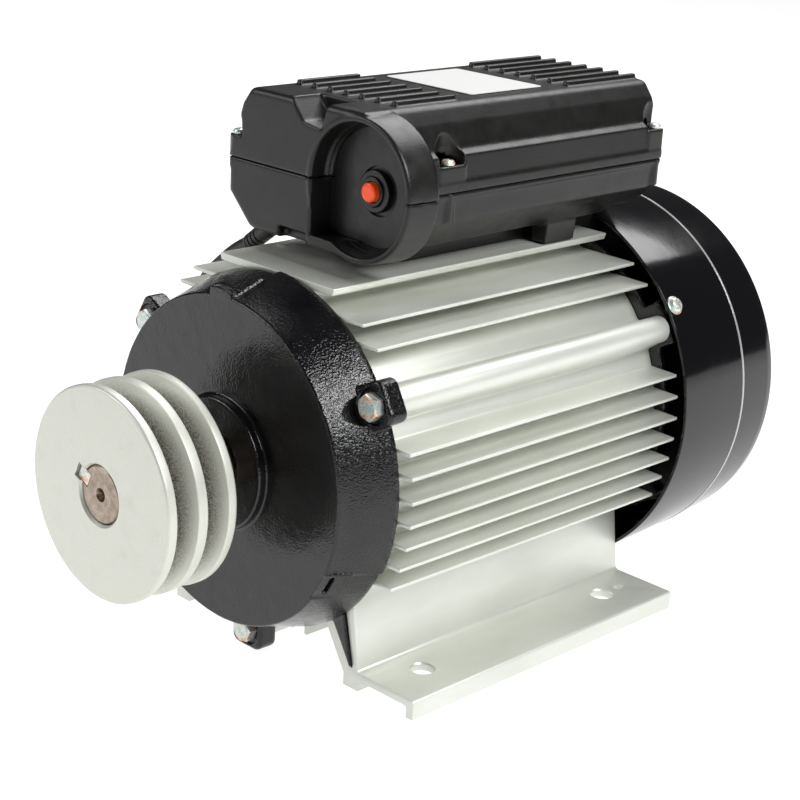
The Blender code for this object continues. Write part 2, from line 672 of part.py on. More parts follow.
def make_box_half(name, section, cavity, upper, kept=()):
    """Lid or base: a shell with its half of the round housing; the seam side stays open.

    The inner room leaves walls around the round housing and around each kept solid.
    """
    shell = slab(name, section, BOX_FRONT, BOX_REAR, "black_plastic")
    join(shell, tube_half(name + "_tube", TUBE_RADIUS, BOX_FRONT - 0.01, TUBE_BACK, upper))
    room = slab(name + "_room", cavity, BOX_FRONT + BOX_WALL, BOX_REAR - BOX_WALL)
    cut(room, cylinder(name + "_keep", TUBE_RADIUS - 0.4, BOX_FRONT - 5, TUBE_BACK,
                       at=(TUBE_X, 0, SEAM), segments=20), *kept)
    cut(shell, room)
    cut(shell, cylinder(name + "_recess", RECESS_RADIUS, BOX_FRONT - 5, RECESS_BACK,
                        at=(TUBE_X, 0, SEAM), segments=20))
    return cut(shell, cylinder(name + "_way", 8, RECESS_BACK - 2, TUBE_BACK + 4,
                               at=(TUBE_X, 0, BUTTON_Z), segments=SMALL))


def make_lid():
    notch = [(-8.3, 150), (-8.3, 143), (-0.7, 137), (9, 135.5), (14, 150)]
    lining = [(-10.8, 151), (-10.8, 142), (-2, 134.5), (11, 133), (17, 151)]
    kept = extruded("lid_notch_lining", [lining], BOX_FRONT - 4, BOX_FRONT + 14.5)
    lid = make_box_half("terminal_box_lid", LID_HALF, LID_CAVITY, True, [kept])
    join(lid, blocks("lid_ribs", lid_rib_boxes()))
    cut(lid, extruded("lid_notch", [notch], BOX_FRONT - 2, BOX_FRONT + 12))
    for number, (x, y) in enumerate(LID_SCREWS):
        cut(lid, cylinder(f"lid_screw_way_{number}", 1.9, 105, 135, axis="Z", at=(x, y, 0), segments=10))


def make_base():
    step = blocks("base_rear_step_lining", [((-60, STEP_FRONT - 5, 80), (60, 290, STEP_FLOOR + 2.6))])
    base = make_box_half("terminal_box_base", BASE_HALF, BASE_CAVITY, False, [step])
    cut(base, blocks("base_rear_step", [((-60, STEP_FRONT, 70), (60, 290, STEP_FLOOR))]))
    leg = [(32, PLATE_TOP + GAP), (44.7, 100), (26, 100), (26, PLATE_TOP + GAP)]
    for side in (-1, 1):
        join(base, extruded(f"box_leg_{side}", [[(side * x, z) for x, z in leg]], *LEG))
    join(base, blocks("box_pedestal", [((-21, 140, PLATE_TOP + GAP), (21, 250, 89))]))
    cut(base, cylinder("box_lead_window", 9, 70, 99, axis="Z", at=(0, 170, 0)))
    for side in (-1, 1):
        cut(base, extruded(f"leg_room_{side}", [[(side * x, z) for x, z in
                                                 ((29, 92), (33, 92), (40, 99), (40, 104), (29, 104))]],
                           LEG[0] - 4, LEG[1] + 4))
    for number, (x, y) in enumerate(LID_SCREWS):
        boss = cylinder(f"screw_boss_{number}", 3.5, 102, SEAM - 0.2, axis="Z", at=(x, y, 0), segments=10)
        join(base, boss)
        cut(base, cylinder(f"screw_thread_{number}", 1.9, 104, 120, axis="Z", at=(x, y, 0), segments=10))
    cut(base, gland_rod("gland_way", 4.5 + GAP, -14, GLAND_LENGTH))


def make_lid_screws():
    seat = 127.5
    for number, (x, y) in enumerate(LID_SCREWS, 1):
        head = [(0, 106), (1.5, 106), (1.5, seat), (2.9, seat), (2.4, seat + 2), (0, seat + 2.4)]
        turned(f"lid_screw_{number}", head, "zinc", "Z", (x, y, 0), 10)


def make_reset_switch():
    panel = cylinder("reset_panel", RECESS_RADIUS - GAP, 111.6, RECESS_BACK - GAP, "black_plastic",
                     at=(TUBE_X, 0, SEAM), segments=20)
    cut(panel, cylinder("reset_panel_hole", BUTTON_RADIUS + 0.5, 105, 120, at=(TUBE_X, 0, BUTTON_Z)))
    button = [(0, BUTTON_TIP), (BUTTON_RADIUS - 0.6, BUTTON_TIP), (BUTTON_RADIUS, BUTTON_TIP + 0.6),
              (BUTTON_RADIUS, RECESS_BACK + 1.5), (0, RECESS_BACK + 1.5)]
    turned("reset_button", button, "red_plastic", at=(TUBE_X, 0, BUTTON_Z), segments=SMALL)
    protector = [(0, RECESS_BACK + 5), (BUTTON_RADIUS + 0.8, RECESS_BACK + 5),
                 (BUTTON_RADIUS + 0.8, RECESS_BACK + GAP), (7.6, RECESS_BACK + GAP), (7.6, 138), (0, 138)]
    turned("thermal_protector", protector, "cream_plastic", at=(TUBE_X, 0, BUTTON_Z), segments=SMALL)


def make_box_contents():
    cylinder("start_capacitor", 21, 124, 214, "black_plastic", at=(-17, 0, 112), segments=20)
    cylinder("run_capacitor", 15, 146, 214, "cream_plastic", at=(26, 0, 107.5), segments=20)
    block = blocks("terminal_block", [((-18, 217, 91), (18, 247, 105))], "cream_plastic")
    cut(block, blocks("terminal_slots", [((x - 3, 212, 100), (x + 3, 252, 110)) for x in (-12, -4, 4, 12)]))
    half, front, rear = PLATE_LABEL
    blocks("rating_label", [((-half, front, BOX_TOP + GAP), (half, rear, BOX_TOP + 0.7))], "label")


# Supply cord -------------------------------------------------------------------------------------

def gland_rod(name, radius, start, end, finish=None, tip=None):
    run = GLAND_RUN
    rod = turned(name, [(0, start), (radius, start), (tip or radius, end), (0, end)], finish, "Z",
                 GLAND_START, 14)
    rod.rotation_euler = (0, math.atan2(run.x, run.z), 0)
    return rod


def smooth_route(route, spacing):
    """Points on one smooth curve (centripetal Catmull-Rom) through the route's own points."""
    points = [Vector(p) for p in route]
    points = [2 * points[0] - points[1]] + points + [2 * points[-1] - points[-2]]
    result = []
    for before, start, end, after in zip(points, points[1:], points[2:], points[3:]):
        steps = max(1, round((end - start).length / spacing))
        for number in range(steps):
            t = number / steps
            result.append(0.5 * (2 * start + (end - before) * t
                                 + (2 * before - 5 * start + 4 * end - after) * t ** 2
                                 + (3 * start - before - 3 * end + after) * t ** 3))
    return result + [points[-2]]


def cord_tube(name, route):
    curve = bpy.data.curves.new(name, "CURVE")
    curve.dimensions = "3D"
    curve.bevel_depth = CORD_RADIUS * MM
    curve.bevel_resolution = 2
    curve.use_fill_caps = True
    points = smooth_route(route, 11)
    spline = curve.splines.new("POLY")
    spline.points.add(len(points) - 1)
    for point, place_at in zip(spline.points, points):
        point.co = (*(place_at * MM), 1)
    tube = bpy.data.objects.new(name, curve)
    PARTS.objects.link(tube)
    curve.materials.append(material("rubber"))
    return tube


def make_cord():
    gland_rod("cord_gland", 4.5, -6, GLAND_LENGTH, "rubber", 4.0)
    cord_tube("supply_cord", CORD_ROUTE)
    inner, outer = COIL_RADII
    turned("supply_cord_coil", [(inner, 2), (inner + 2, 0.1), (outer - 2, 0.1), (outer, 2),
                                (outer, COIL_HEIGHT - 2), (outer - 2, COIL_HEIGHT),
                                (inner + 2, COIL_HEIGHT), (inner, COIL_HEIGHT - 2)],
           "rubber", "Z", (*COIL_CENTRE, 0), 24, datum=False)
    cord_tube("supply_cord_tail", TAIL_ROUTE)
    make_plug()


def make_plug():
    """Rewirable-size plug lying on its side, with two round pins."""
    x, height = PLUG_AXIS
    body = [(0, 0), (5, 0), (6, 12), (9, 18), (12.8, 24), (12.8, 40), (11, 42), (0, 42)]
    plug = turned("mains_plug", body, "rubber", "Y", (x, PLUG_BACK, height), 14, datum=False)
    plug.rotation_euler = (math.pi / 2, 0, 0)
    for side in (-1, 1):
        pin = turned(f"plug_pin_{side}", [(0, 40), (2.4, 40), (2.4, 60), (0, 61)], None, "Y",
                     (x + side * 6.7, PLUG_BACK, height), 8, datum=False)
        pin.rotation_euler = (math.pi / 2, 0, 0)
        join(plug, pin)


def main():
    make_frame()
    make_front_bell()
    make_rear_bell()
    make_bolts()
    make_bearing("front", FRONT_BEARING)
    make_bearing("rear", REAR_BEARING)
    make_shaft()
    make_pulley()
    make_rotor()
    make_stator()
    make_shaft_seal()
    make_centrifugal_switch()
    make_fan()
    make_cowl()
    make_lid()
    make_base()
    make_lid_screws()
    make_reset_switch()
    make_box_contents()
    make_cord()


clear_scene()
PARTS = new_collection("electric_motor")
TOOLS = new_collection("cutters")
DATUM = bpy.data.objects.new("shaft_datum", None)
PARTS.objects.link(DATUM)
DATUM.location = (0, -LENGTH / 2 * MM, SHAFT_HEIGHT * MM)
main()
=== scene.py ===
"""Looks of a single-phase electric motor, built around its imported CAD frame.

Shapes are drawn in millimetres in the shaft's own frame: Y runs from the pulley's front face towards
the fan and Z is measured from the shaft's centre line.  Both zero points come from the CAD nodes.
"""

import json
import math

import bmesh
import bpy
from mathutils import Matrix, Vector, noise

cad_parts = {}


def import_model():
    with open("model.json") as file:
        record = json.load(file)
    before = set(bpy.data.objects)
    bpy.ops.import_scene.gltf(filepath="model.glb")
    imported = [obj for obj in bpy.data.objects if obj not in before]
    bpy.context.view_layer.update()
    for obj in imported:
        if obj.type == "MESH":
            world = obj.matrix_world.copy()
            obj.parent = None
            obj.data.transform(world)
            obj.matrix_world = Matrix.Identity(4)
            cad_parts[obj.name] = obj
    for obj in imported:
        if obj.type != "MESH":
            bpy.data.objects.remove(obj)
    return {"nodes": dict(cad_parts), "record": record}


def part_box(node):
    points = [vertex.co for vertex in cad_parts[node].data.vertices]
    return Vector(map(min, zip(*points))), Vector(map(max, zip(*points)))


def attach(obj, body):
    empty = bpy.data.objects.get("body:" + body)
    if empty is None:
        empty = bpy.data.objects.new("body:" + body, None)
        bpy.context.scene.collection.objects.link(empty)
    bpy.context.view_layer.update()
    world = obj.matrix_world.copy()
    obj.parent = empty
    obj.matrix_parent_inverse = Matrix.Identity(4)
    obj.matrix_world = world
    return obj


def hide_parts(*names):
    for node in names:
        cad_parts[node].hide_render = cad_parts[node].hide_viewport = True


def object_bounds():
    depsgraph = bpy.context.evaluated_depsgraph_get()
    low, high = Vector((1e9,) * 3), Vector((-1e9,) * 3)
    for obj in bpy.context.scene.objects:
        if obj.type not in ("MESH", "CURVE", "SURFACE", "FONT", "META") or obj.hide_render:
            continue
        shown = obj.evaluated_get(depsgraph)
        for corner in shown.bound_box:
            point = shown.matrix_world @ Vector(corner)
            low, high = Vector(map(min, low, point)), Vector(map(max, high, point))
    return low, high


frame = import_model()
CAD_LOW, CAD_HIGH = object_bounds()

MM = 0.001
PULLEY_LOW, PULLEY_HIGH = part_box("drive_pulley")
FRONT = PULLEY_LOW.y / MM
AXIS = (PULLEY_LOW.z + PULLEY_HIGH.z) / 2 / MM
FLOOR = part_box("motor_frame")[0].z / MM - AXIS
VERY_FINE = 160                 # facets round the pulley and the cowl
FINE = 128                      # round the bells and the frame's bore
SMALL = 32                      # round a small piece
FIXED = "motor_body"
BOLT_ANGLES = (30.0, 150.0, 270.0)
BOLT_CIRCLE = 80.7
COWL_SCREW_ANGLES, COWL_SCREW_Y = (35.0, 155.0, 286.0), 262.6
KEY_ANGLE = 154.0


# Geometry ---------------------------------

def world(x, y, z):
    """Point of the shaft's frame, in world metres."""
    return Vector((x, y + FRONT, z + AXIS)) * MM


TO_WORLD = Matrix.Translation(Vector((0, FRONT, AXIS)) * MM) @ Matrix.Scale(MM, 4)


def polar(radius, angle):
    return radius * math.cos(math.radians(angle)), radius * math.sin(math.radians(angle))


def arc(radius, first, last, count, centre=(0, 0)):
    """Points of an arc, its angles in degrees from +X towards +Z."""
    steps = [first + (last - first) * i / (count - 1) for i in range(count)]
    return [(centre[0] + polar(radius, a)[0], centre[1] + polar(radius, a)[1]) for a in steps]


def rounded(corners, closed=True, step=12.0):
    """Outline whose (u, v, radius) corners are rounded; a corner without a radius stays sharp."""
    outline = []
    count = len(corners)
    for number, corner in enumerate(corners):
        here = Vector(corner[:2])
        radius = corner[2] if len(corner) > 2 else 0
        if not radius or (not closed and number in (0, count - 1)):
            outline.append(tuple(here))
            continue
        back = Vector(corners[number - 1][:2]) - here
        ahead = Vector(corners[(number + 1) % count][:2]) - here
        half = back.angle(ahead) / 2
        reach = min(radius / math.tan(half), back.length * 0.49, ahead.length * 0.49)
        radius = reach * math.tan(half)
        centre = here + (back.normalized() + ahead.normalized()).normalized() * (radius / math.sin(half))
        start = here + back.normalized() * reach - centre
        end = here + ahead.normalized() * reach - centre
        first = math.atan2(start.y, start.x)
        turn = (math.atan2(end.y, end.x) - first + math.pi) % (2 * math.pi) - math.pi
        steps = max(2, math.ceil(abs(math.degrees(turn)) / step))
        for i in range(steps + 1):
            angle = first + turn * i / steps
            outline.append((centre.x + radius * math.cos(angle), centre.y + radius * math.sin(angle)))
    return outline


def piece(name, mesh, finish=None, body=FIXED, stands_for=(), sharp=35):
    """Link a finished mesh as a piece of the object that rides on a body."""
    made = linked(name, mesh)
    if finish:
        mesh.materials.clear()
        mesh.materials.append(finish)
        mesh.shade_smooth()
        mesh.set_sharp_from_angle(angle=math.radians(sharp))
        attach(made, body)
        if stands_for:
            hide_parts(*stands_for)
    return made


def linked(name, data):
    """New object of the scene."""
    made = bpy.data.objects.new(name, data)
    bpy.context.scene.collection.objects.link(made)
    return made


def mesh_of(work, matrix=TO_WORLD):
    """Mesh from a bmesh drawn in the shaft's frame, in millimetres."""
    bmesh.ops.recalc_face_normals(work, faces=work.faces)
    work.transform(matrix)
    mesh = bpy.data.meshes.new("made")
    work.to_mesh(mesh)
    work.free()
    return mesh


def spun(profile, segments=FINE, matrix=None):
    """Turned solid about Y from a profile of (radius, y); it closes on the axis or on itself."""
    work = bmesh.new()
    line = [work.verts.new((max(r, 0), y, 0)) for r, y in profile]
    edges = [work.edges.new(pair) for pair in zip(line, line[1:])]
    if min(r for r, _ in profile) > 1e-6:
        edges.append(work.edges.new((line[-1], line[0])))
    bmesh.ops.spin(work, geom=line + edges, cent=(0, 0, 0), axis=(0, 1, 0), dvec=(0, 0, 0),
                   angle=2 * math.pi, steps=segments, use_merge=True)
    bmesh.ops.remove_doubles(work, verts=work.verts, dist=1e-3)
    if matrix:
        work.transform(matrix)
    return work


def loft(loops):
    """Solid through matching loops of points, closed at the first and at the last."""
    work = bmesh.new()
    rings = [[work.verts.new(point) for point in loop] for loop in loops]
    for near, far in zip(rings, rings[1:]):
        for i in range(len(near)):
            j = (i + 1) % len(near)
            work.faces.new((near[j], near[i], far[i], far[j]))
    work.faces.new(rings[0])
    work.faces.new(list(reversed(rings[-1])))
    return work


def turned(corners, segments=FINE, matrix=None):
    """Turned solid whose (radius, y, rounding) profile runs from the axis to the axis."""
    return spun(rounded(corners, closed=False), segments, matrix)


def prism(outline, front, rear):
    """Solid between two copies of an outline in the X-Z plane."""
    return loft([[(x, y, z) for x, z in outline] for y in (front, rear)])


def section(loops, front, rear, edge, steps):
    """Extrusion of an outline with holes along Y, its end edges rounded by a small radius."""
    curve = bpy.data.curves.new("section", "CURVE")
    curve.dimensions = "2D"
    curve.fill_mode = "BOTH"
    curve.extrude = (rear - front) / 2 - edge
    curve.bevel_depth = edge
    curve.bevel_resolution = steps
    curve.offset = -edge
    for loop in loops:
        spline = curve.splines.new("POLY")
        spline.points.add(len(loop) - 1)
        spline.use_cyclic_u = True
        for point, (x, z) in zip(spline.points, loop):
            point.co = (x, z, 0, 1)
    guide = linked("section", curve)
    mesh = baked(guide)
    bpy.data.objects.remove(guide)
    work = bmesh.new()
    work.from_mesh(mesh)
    bmesh.ops.remove_doubles(work, verts=work.verts, dist=1e-4)
    work.transform(Matrix.Translation((0, (front + rear) / 2, 0)) @ Matrix.Rotation(math.pi / 2, 4, "X"))
    return work


def inset(corners, depth):
    """Closed (u, v, radius) outline moved inwards by a depth, its corner radii following."""
    count = len(corners)
    points = [Vector(c[:2]) for c in corners]
    area = sum(a.x * b.y - b.x * a.y for a, b in zip(points, points[1:] + points[:1]))
    side = 1 if area > 0 else -1
    moved = []
    for number, here in enumerate(points):
        into, out = here - points[number - 1], points[(number + 1) % count] - here
        first = Vector((-into.y, into.x)).normalized() * side
        second = Vector((-out.y, out.x)).normalized() * side
        shift = (first + second) / (1 + first.dot(second)) * depth
        convex = into.cross(out) * side > 0
        radius = corners[number][2] if len(corners[number]) > 2 else 0.3
        radius = max(radius - depth, 0.1) if convex else radius + depth
        moved.append((here.x + shift.x, here.y + shift.y, radius))
    return moved


def cushion(corners, front, rear, edge, steps=5):
    """Extrusion along Y of an outline whose end edges are rounded by a large radius."""
    angles = [math.pi / 2 * i / steps for i in range(steps + 1)]
    stations = [(front + edge * (1 - math.sin(a)), edge * (1 - math.cos(a))) for a in reversed(angles)]
    stations += [(rear - edge * (1 - math.sin(a)), edge * (1 - math.cos(a))) for a in angles]
    return loft([[(x, y, z) for x, z in rounded(inset(corners, depth))] for y, depth in stations])


def block(low, high, turn=0.0):
    """Box between two corners, turned about the shaft line."""
    work = bmesh.new()
    bmesh.ops.create_cube(work, size=1)
    low, high = Vector(low), Vector(high)
    work.transform(Matrix.Rotation(-math.radians(turn), 4, "Y") @ Matrix.Translation((low + high) / 2)
                   @ Matrix.Diagonal((*(high - low), 1)))
    return work


def rod(radius, start, end, matrix, segments=SMALL):
    """Cylinder along a local Y, placed by a matrix."""
    return spun([(0, start), (radius, start), (radius, end), (0, end)], segments, matrix)


def upright(x, y, z=0.0):
    """Placing matrix whose local Y points up."""
    return Matrix.Translation((x, y, z)) @ Matrix.Rotation(math.pi / 2, 4, "X")


def radial(angle, y):
    """Placing matrix whose local Y points out from the shaft at an angle."""
    return (Matrix.Translation((0, y, 0)) @ Matrix.Rotation(math.radians(90 - angle), 4, "Y")
            @ Matrix.Rotation(math.pi / 2, 4, "X"))


def along(x, z):
    """Placing matrix that shifts a piece turned about Y."""
    return Matrix.Translation((x, 0, z))


def join(*works):
    """Boolean steps that add solids, one after another."""
    return [("+", work) for work in works]


def cut(*works):
    """Boolean steps that take solids away."""
    return [("-", work) for work in works]


def shaped(base, steps):
    """Booleans one after another, as (sign, bmesh): + joins, - cuts away and & keeps what is shared."""
    body = linked("body", mesh_of(base))
    tools = []
    for sign, work in steps:
        tool = linked("tool", mesh_of(work))
        tools.append(tool)
        step = body.modifiers.new("cut", "BOOLEAN")
        step.operation = {"+": "UNION", "-": "DIFFERENCE", "&": "INTERSECT"}[sign]
        step.solver = "MANIFOLD"
        step.object = tool
    mesh = baked(body)
    for item in [body] + tools:
        bpy.data.objects.remove(item)
    return mesh


def shaped_work(base, steps):
    """What shaped makes, as a bmesh in the shaft's frame, for use in further booleans."""
    work = bmesh.new()
    work.from_mesh(shaped(base, steps))
    work.transform(TO_WORLD.inverted())
    return work


def baked(item):
    bpy.context.view_layer.update()
    return bpy.data.meshes.new_from_object(item.evaluated_get(bpy.context.evaluated_depsgraph_get()))


def modified(mesh, **stack):
    """Mesh after modifiers, each named by its kind and given its settings."""
    item = linked("made", mesh)
    for kind, settings in stack.items():
        modifier = item.modifiers.new(kind, kind)
        for key, value in settings.items():
            setattr(modifier, key, value)
    made = baked(item)
    bpy.data.objects.remove(item)
    return made


def softened(mesh, voxel, rounds):
    """Remesh a solid and relax it, so that its inner and outer corners come out rounded as cast."""
    return modified(mesh, REMESH={"mode": "VOXEL", "voxel_size": voxel * MM},
                    SMOOTH={"factor": 0.5, "iterations": rounds})


def bevelled(mesh, width, angle=30):
    """Mesh with its edges sharper than an angle rounded off."""
    return modified(mesh, BEVEL={"width": width * MM, "segments": 2, "limit_method": "ANGLE",
                                 "angle_limit": math.radians(angle), "miter_outer": "MITER_ARC"})


def roughened(mesh, height, size, seed):
    """Move a mesh along its normals by smooth noise, like the skin of a casting."""
    shift = Vector((seed, 0, 0))
    normals = [v.normal.copy() for v in mesh.vertices]
    for vertex, normal in zip(mesh.vertices, normals):
        vertex.co += normal * noise.noise(vertex.co / (size * MM) + shift) * height * MM
    return mesh


# Materials --------------------------------

class Finish:
    """A material under construction: one Principled shader and helpers that feed its sockets."""

    def __init__(self, name, colour, roughness, metallic=0.0, coat=0.0):
        self.made = bpy.data.materials.new(name)
        self.made.use_nodes = True
        self.tree = self.made.node_tree
        self.shader = self.tree.nodes["Principled BSDF"]
        self.set("Base Color", (*colour, 1))
        self.set("Roughness", roughness)
        self.set("Metallic", metallic)
        self.set("Coat Weight", coat)
        self.set("Coat Roughness", 0.05)
        self.place = self.node("TexCoord").outputs["Object"]
        self.bumps = None

    def set(self, socket, value):
        self.shader.inputs[socket].default_value = value

    def node(self, kind, **values):
        made = self.tree.nodes.new("ShaderNode" + kind)
        for key, value in values.items():
            if isinstance(getattr(made, key, None), (str, bool)) and not hasattr(value, "links"):
                setattr(made, key, value)
            else:
                self.feed(made.inputs[key], value)
        return made

    def feed(self, socket, value):
        if isinstance(value, bpy.types.NodeSocket):
            self.tree.links.new(value, socket)
        else:
            socket.default_value = value

    def math(self, operation, a, b=0.0, clamp=False):
        made = self.node("Math", operation=operation, use_clamp=clamp)
        self.feed(made.inputs[0], a)
        self.feed(made.inputs[1], b)
        return made.outputs[0]

    def stretched(self, scale, shift=(0, 0, 0)):
        return self.node("Mapping", Vector=self.place, Location=shift, Scale=scale).outputs["Vector"]

    def noise(self, size, detail=2.0, stretch=(1, 1, 1), roughness=0.5):
        """Fractal noise whose grains are about size millimetres across, stretched along the axes."""
        return self.node("TexNoise", Vector=self.stretched([1 / s for s in stretch]), Scale=1 / (size * MM),
                         Detail=detail, Roughness=roughness).outputs["Fac"]

    def ramp(self, value, low, high, bottom=0.0, top=1.0):
        """Map low..high of a value to bottom..top."""
        ends = {"From Min": low, "From Max": high, "To Min": bottom, "To Max": top}
        return self.node("MapRange", Value=value, **ends).outputs["Result"]

    def mix(self, share, first, second):
        """Colour mixed from two colours by a share."""
        made = self.node("Mix", data_type="RGBA")
        sockets = [s for s in made.inputs if s.type == "RGBA"]
        self.feed(made.inputs["Factor"], share)
        for socket, value in zip(sockets, (first, second)):
            self.feed(socket, (*value, 1) if isinstance(value, tuple) else value)
        return next(s for s in made.outputs if s.type == "RGBA")

    def coloured(self, share, first, second):
        """Let the colour go from one to another by a share."""
        self.feed(self.shader.inputs["Base Color"], self.mix(share, first, second))

    def rough(self, value):
        self.feed(self.shader.inputs["Roughness"], value)

    def patchy(self, size, detail, low, high):
        """Let the roughness wander between two values in patches about size millimetres across."""
        self.rough(self.ramp(self.noise(size, detail), 0.3, 0.8, low, high))

    def bump(self, height, depth):
        """Add a bump layer, depth in millimetres."""
        made = self.node("Bump", Strength=1.0, Distance=depth * MM, Height=height)
        if self.bumps:
            self.feed(made.inputs["Normal"], self.bumps)
        self.bumps = made.outputs["Normal"]
        self.feed(self.shader.inputs["Normal"], self.bumps)

    def grain(self, size, detail, depth, **more):
        """Add a bump layer of noise."""
        self.bump(self.noise(size, detail, **more), depth)

    def rings(self, scale, distortion=0.0):
        """Turning marks round the shaft's centre line."""
        place = self.stretched((1, 0, 1), (0, 0, -AXIS * MM))
        return self.node("TexWave", wave_type="RINGS", rings_direction="SPHERICAL", Vector=place, Scale=scale,
                         Distortion=distortion).outputs["Fac"]

    def axis_distance(self):
        """Distance from the shaft's centre line, and the y behind the pulley's face, in metres."""
        split = self.node("SeparateXYZ", Vector=self.place)
        height = self.math("SUBTRACT", split.outputs["Z"], AXIS * MM)
        square = self.math("ADD", self.math("POWER", split.outputs["X"], 2), self.math("POWER", height, 2))
        return self.math("SQRT", square), self.math("SUBTRACT", split.outputs["Y"], FRONT * MM)


def extruded_aluminium():
    """Etched extrusion: pale, slightly green, with long die lines along the shaft."""
    made = Finish("extruded_aluminium", (0.80, 0.81, 0.77), 0.42, 0.45)
    lines = made.noise(0.35, 3, (1, 180, 1))
    cloud = made.noise(26, 3, (1, 2.2, 1))
    made.coloured(made.ramp(cloud, 0.35, 0.7), (0.76, 0.78, 0.72), (0.67, 0.69, 0.63))
    made.rough(made.ramp(lines, 0.3, 0.7, 0.36, 0.50))
    made.bump(lines, 0.012)
    made.grain(0.5, 3, 0.006)
    return made.made


def pulley_aluminium():
    """Cast and turned: fine rings on the machined faces, speckled colour growing darker towards the groove
    bottoms.
    """
    made = Finish("pulley_aluminium", (0.76, 0.76, 0.71), 0.40, 0.5)
    distance, depth = made.axis_distance()
    grit = made.noise(0.7, 4, roughness=0.75)
    fine = made.noise(0.35, 2)
    # Speckled colour that grows darker towards the groove bottoms and fades out near the two faces.
    in_groove = made.math("MULTIPLY", made.ramp(distance, 0.0425, 0.034), made.ramp(depth, 0.002, 0.0035))
    in_groove = made.math("MULTIPLY", in_groove, made.ramp(depth, 0.0325, 0.031))
    groove_darkening = made.math("MULTIPLY", in_groove, made.ramp(grit, 0.36, 0.62, 0.25, 1.25), clamp=True)
    stain = made.ramp(made.noise(9, 4), 0.55, 0.8)
    base_colour = made.mix(made.math("MULTIPLY", stain, 0.35), (0.70, 0.71, 0.64), (0.57, 0.57, 0.50))
    base_colour = made.mix(made.ramp(fine, 0.56, 0.72, 0, 0.5), base_colour, (0.52, 0.50, 0.46))
    made.coloured(groove_darkening, base_colour, (0.10, 0.085, 0.07))
    made.rough(made.ramp(grit, 0.3, 0.8, 0.36, 0.62))
    made.bump(made.rings(380, 1.5), 0.006)
    made.bump(grit, 0.03)
    return made.made


def cast_enamel():
    """Thick black gloss over a rough casting."""
    made = Finish("cast_enamel", (0.007, 0.007, 0.008), 0.16)
    cloud = made.noise(18, 3)
    made.coloured(made.ramp(cloud, 0.35, 0.75), (0.004, 0.004, 0.005), (0.010, 0.010, 0.011))
    made.patchy(5, 3, 0.08, 0.16)
    grain = made.noise(0.9, 2, roughness=0.5)
    distance, _ = made.axis_distance()
    rougher = made.ramp(distance, 0.068, 0.071, 0.42, 1.0)
    made.bump(made.math("MULTIPLY", grain, rougher), 0.32)
    made.grain(6, 2, 0.15)
    return made.made


def smooth_enamel():
    """Black gloss over pressed sheet, with slight waviness and a little dust."""
    made = Finish("smooth_enamel", (0.006, 0.006, 0.007), 0.10)
    dust = made.ramp(made.noise(1.1, 5, roughness=0.8), 0.70, 0.78)
    made.coloured(made.math("MULTIPLY", dust, 0.5), (0.004, 0.004, 0.005), (0.07, 0.07, 0.07))
    made.patchy(24, 3, 0.08, 0.16)
    made.grain(14, 2, 0.05)
    made.grain(1.2, 2, 0.004)
    return made.made


def bead_edge():
    """Edge of the pressed step, where the enamel has drawn thin."""
    made = Finish("bead_edge", (0.42, 0.42, 0.41), 0.30, 0.3, 0.6)
    made.coloured(made.noise(6, 3), (0.50, 0.50, 0.49), (0.34, 0.34, 0.33))
    return made.made


def textured_plastic():
    """Black moulding with a fine spark-eroded texture."""
    made = Finish("textured_plastic", (0.032, 0.031, 0.030), 0.42)
    made.coloured(made.ramp(made.noise(30, 3), 0.3, 0.8), (0.006, 0.006, 0.0056), (0.010, 0.0098, 0.0092))
    made.set("Specular IOR Level", 0.42)
    made.patchy(6, 3, 0.30, 0.42)
    made.grain(0.7, 2, 0.05, roughness=0.6)
    return made.made


def satin_plastic():
    """Smoother black moulding of the switch panel."""
    made = Finish("satin_plastic", (0.008, 0.0078, 0.0073), 0.34)
    made.set("Specular IOR Level", 0.42)
    made.patchy(4, 3, 0.28, 0.42)
    made.grain(0.8, 3, 0.015)
    return made.made


def shaft_steel():
    """Ground steel with a brown film and facing marks."""
    made = Finish("shaft_steel", (0.46, 0.40, 0.35), 0.36, 1.0)
    stain = made.noise(3.2, 5, roughness=0.7)
    made.coloured(made.ramp(stain, 0.35, 0.65), (0.42, 0.36, 0.30), (0.25, 0.195, 0.15))
    made.patchy(1.2, 4, 0.26, 0.50)
    made.bump(made.rings(900), 0.004)
    made.grain(0.6, 3, 0.012)
    return made.made


def zinc_plate():
    """Bright zinc with its faint yellow and rose interference tints."""
    made = Finish("zinc_plate", (0.75, 0.77, 0.77), 0.24, 0.5)
    tint = made.noise(3.5, 3)
    pale = made.mix(made.ramp(tint, 0.42, 0.54), (0.56, 0.68, 0.66), (0.80, 0.78, 0.70))
    made.coloured(made.ramp(tint, 0.54, 0.62), pale, (0.74, 0.42, 0.28))
    made.patchy(1.0, 4, 0.22, 0.42)
    made.grain(0.8, 3, 0.02)
    return made.made


def bearing_steel():
    made = Finish("bearing_steel", (0.62, 0.62, 0.62), 0.14, 1.0)
    made.patchy(2.0, 3, 0.10, 0.24)
    made.grain(0.4, 2, 0.002, stretch=(6, 1, 6))
    return made.made


def rubber():
    """Matt black cord sheath and gland."""
    made = Finish("rubber", (0.014, 0.014, 0.014), 0.58)
    made.coloured(made.noise(12, 3), (0.007, 0.007, 0.007), (0.013, 0.0125, 0.0125))
    made.patchy(3, 3, 0.34, 0.50)
    made.grain(0.7, 3, 0.02)
    return made.made


def red_plastic():
    made = Finish("red_plastic", (0.95, 0.08, 0.01), 0.30)
    # The faint red emission is a painted glow: it brightens the button's red, though the button is no lamp.
    made.set("Emission Color", (1.0, 0.09, 0.01, 1))
    made.set("Emission Strength", 0.12)
    made.coloured(made.noise(3, 2), (1.0, 0.10, 0.012), (0.90, 0.060, 0.010))
    made.grain(0.9, 2, 0.02)
    return made.made


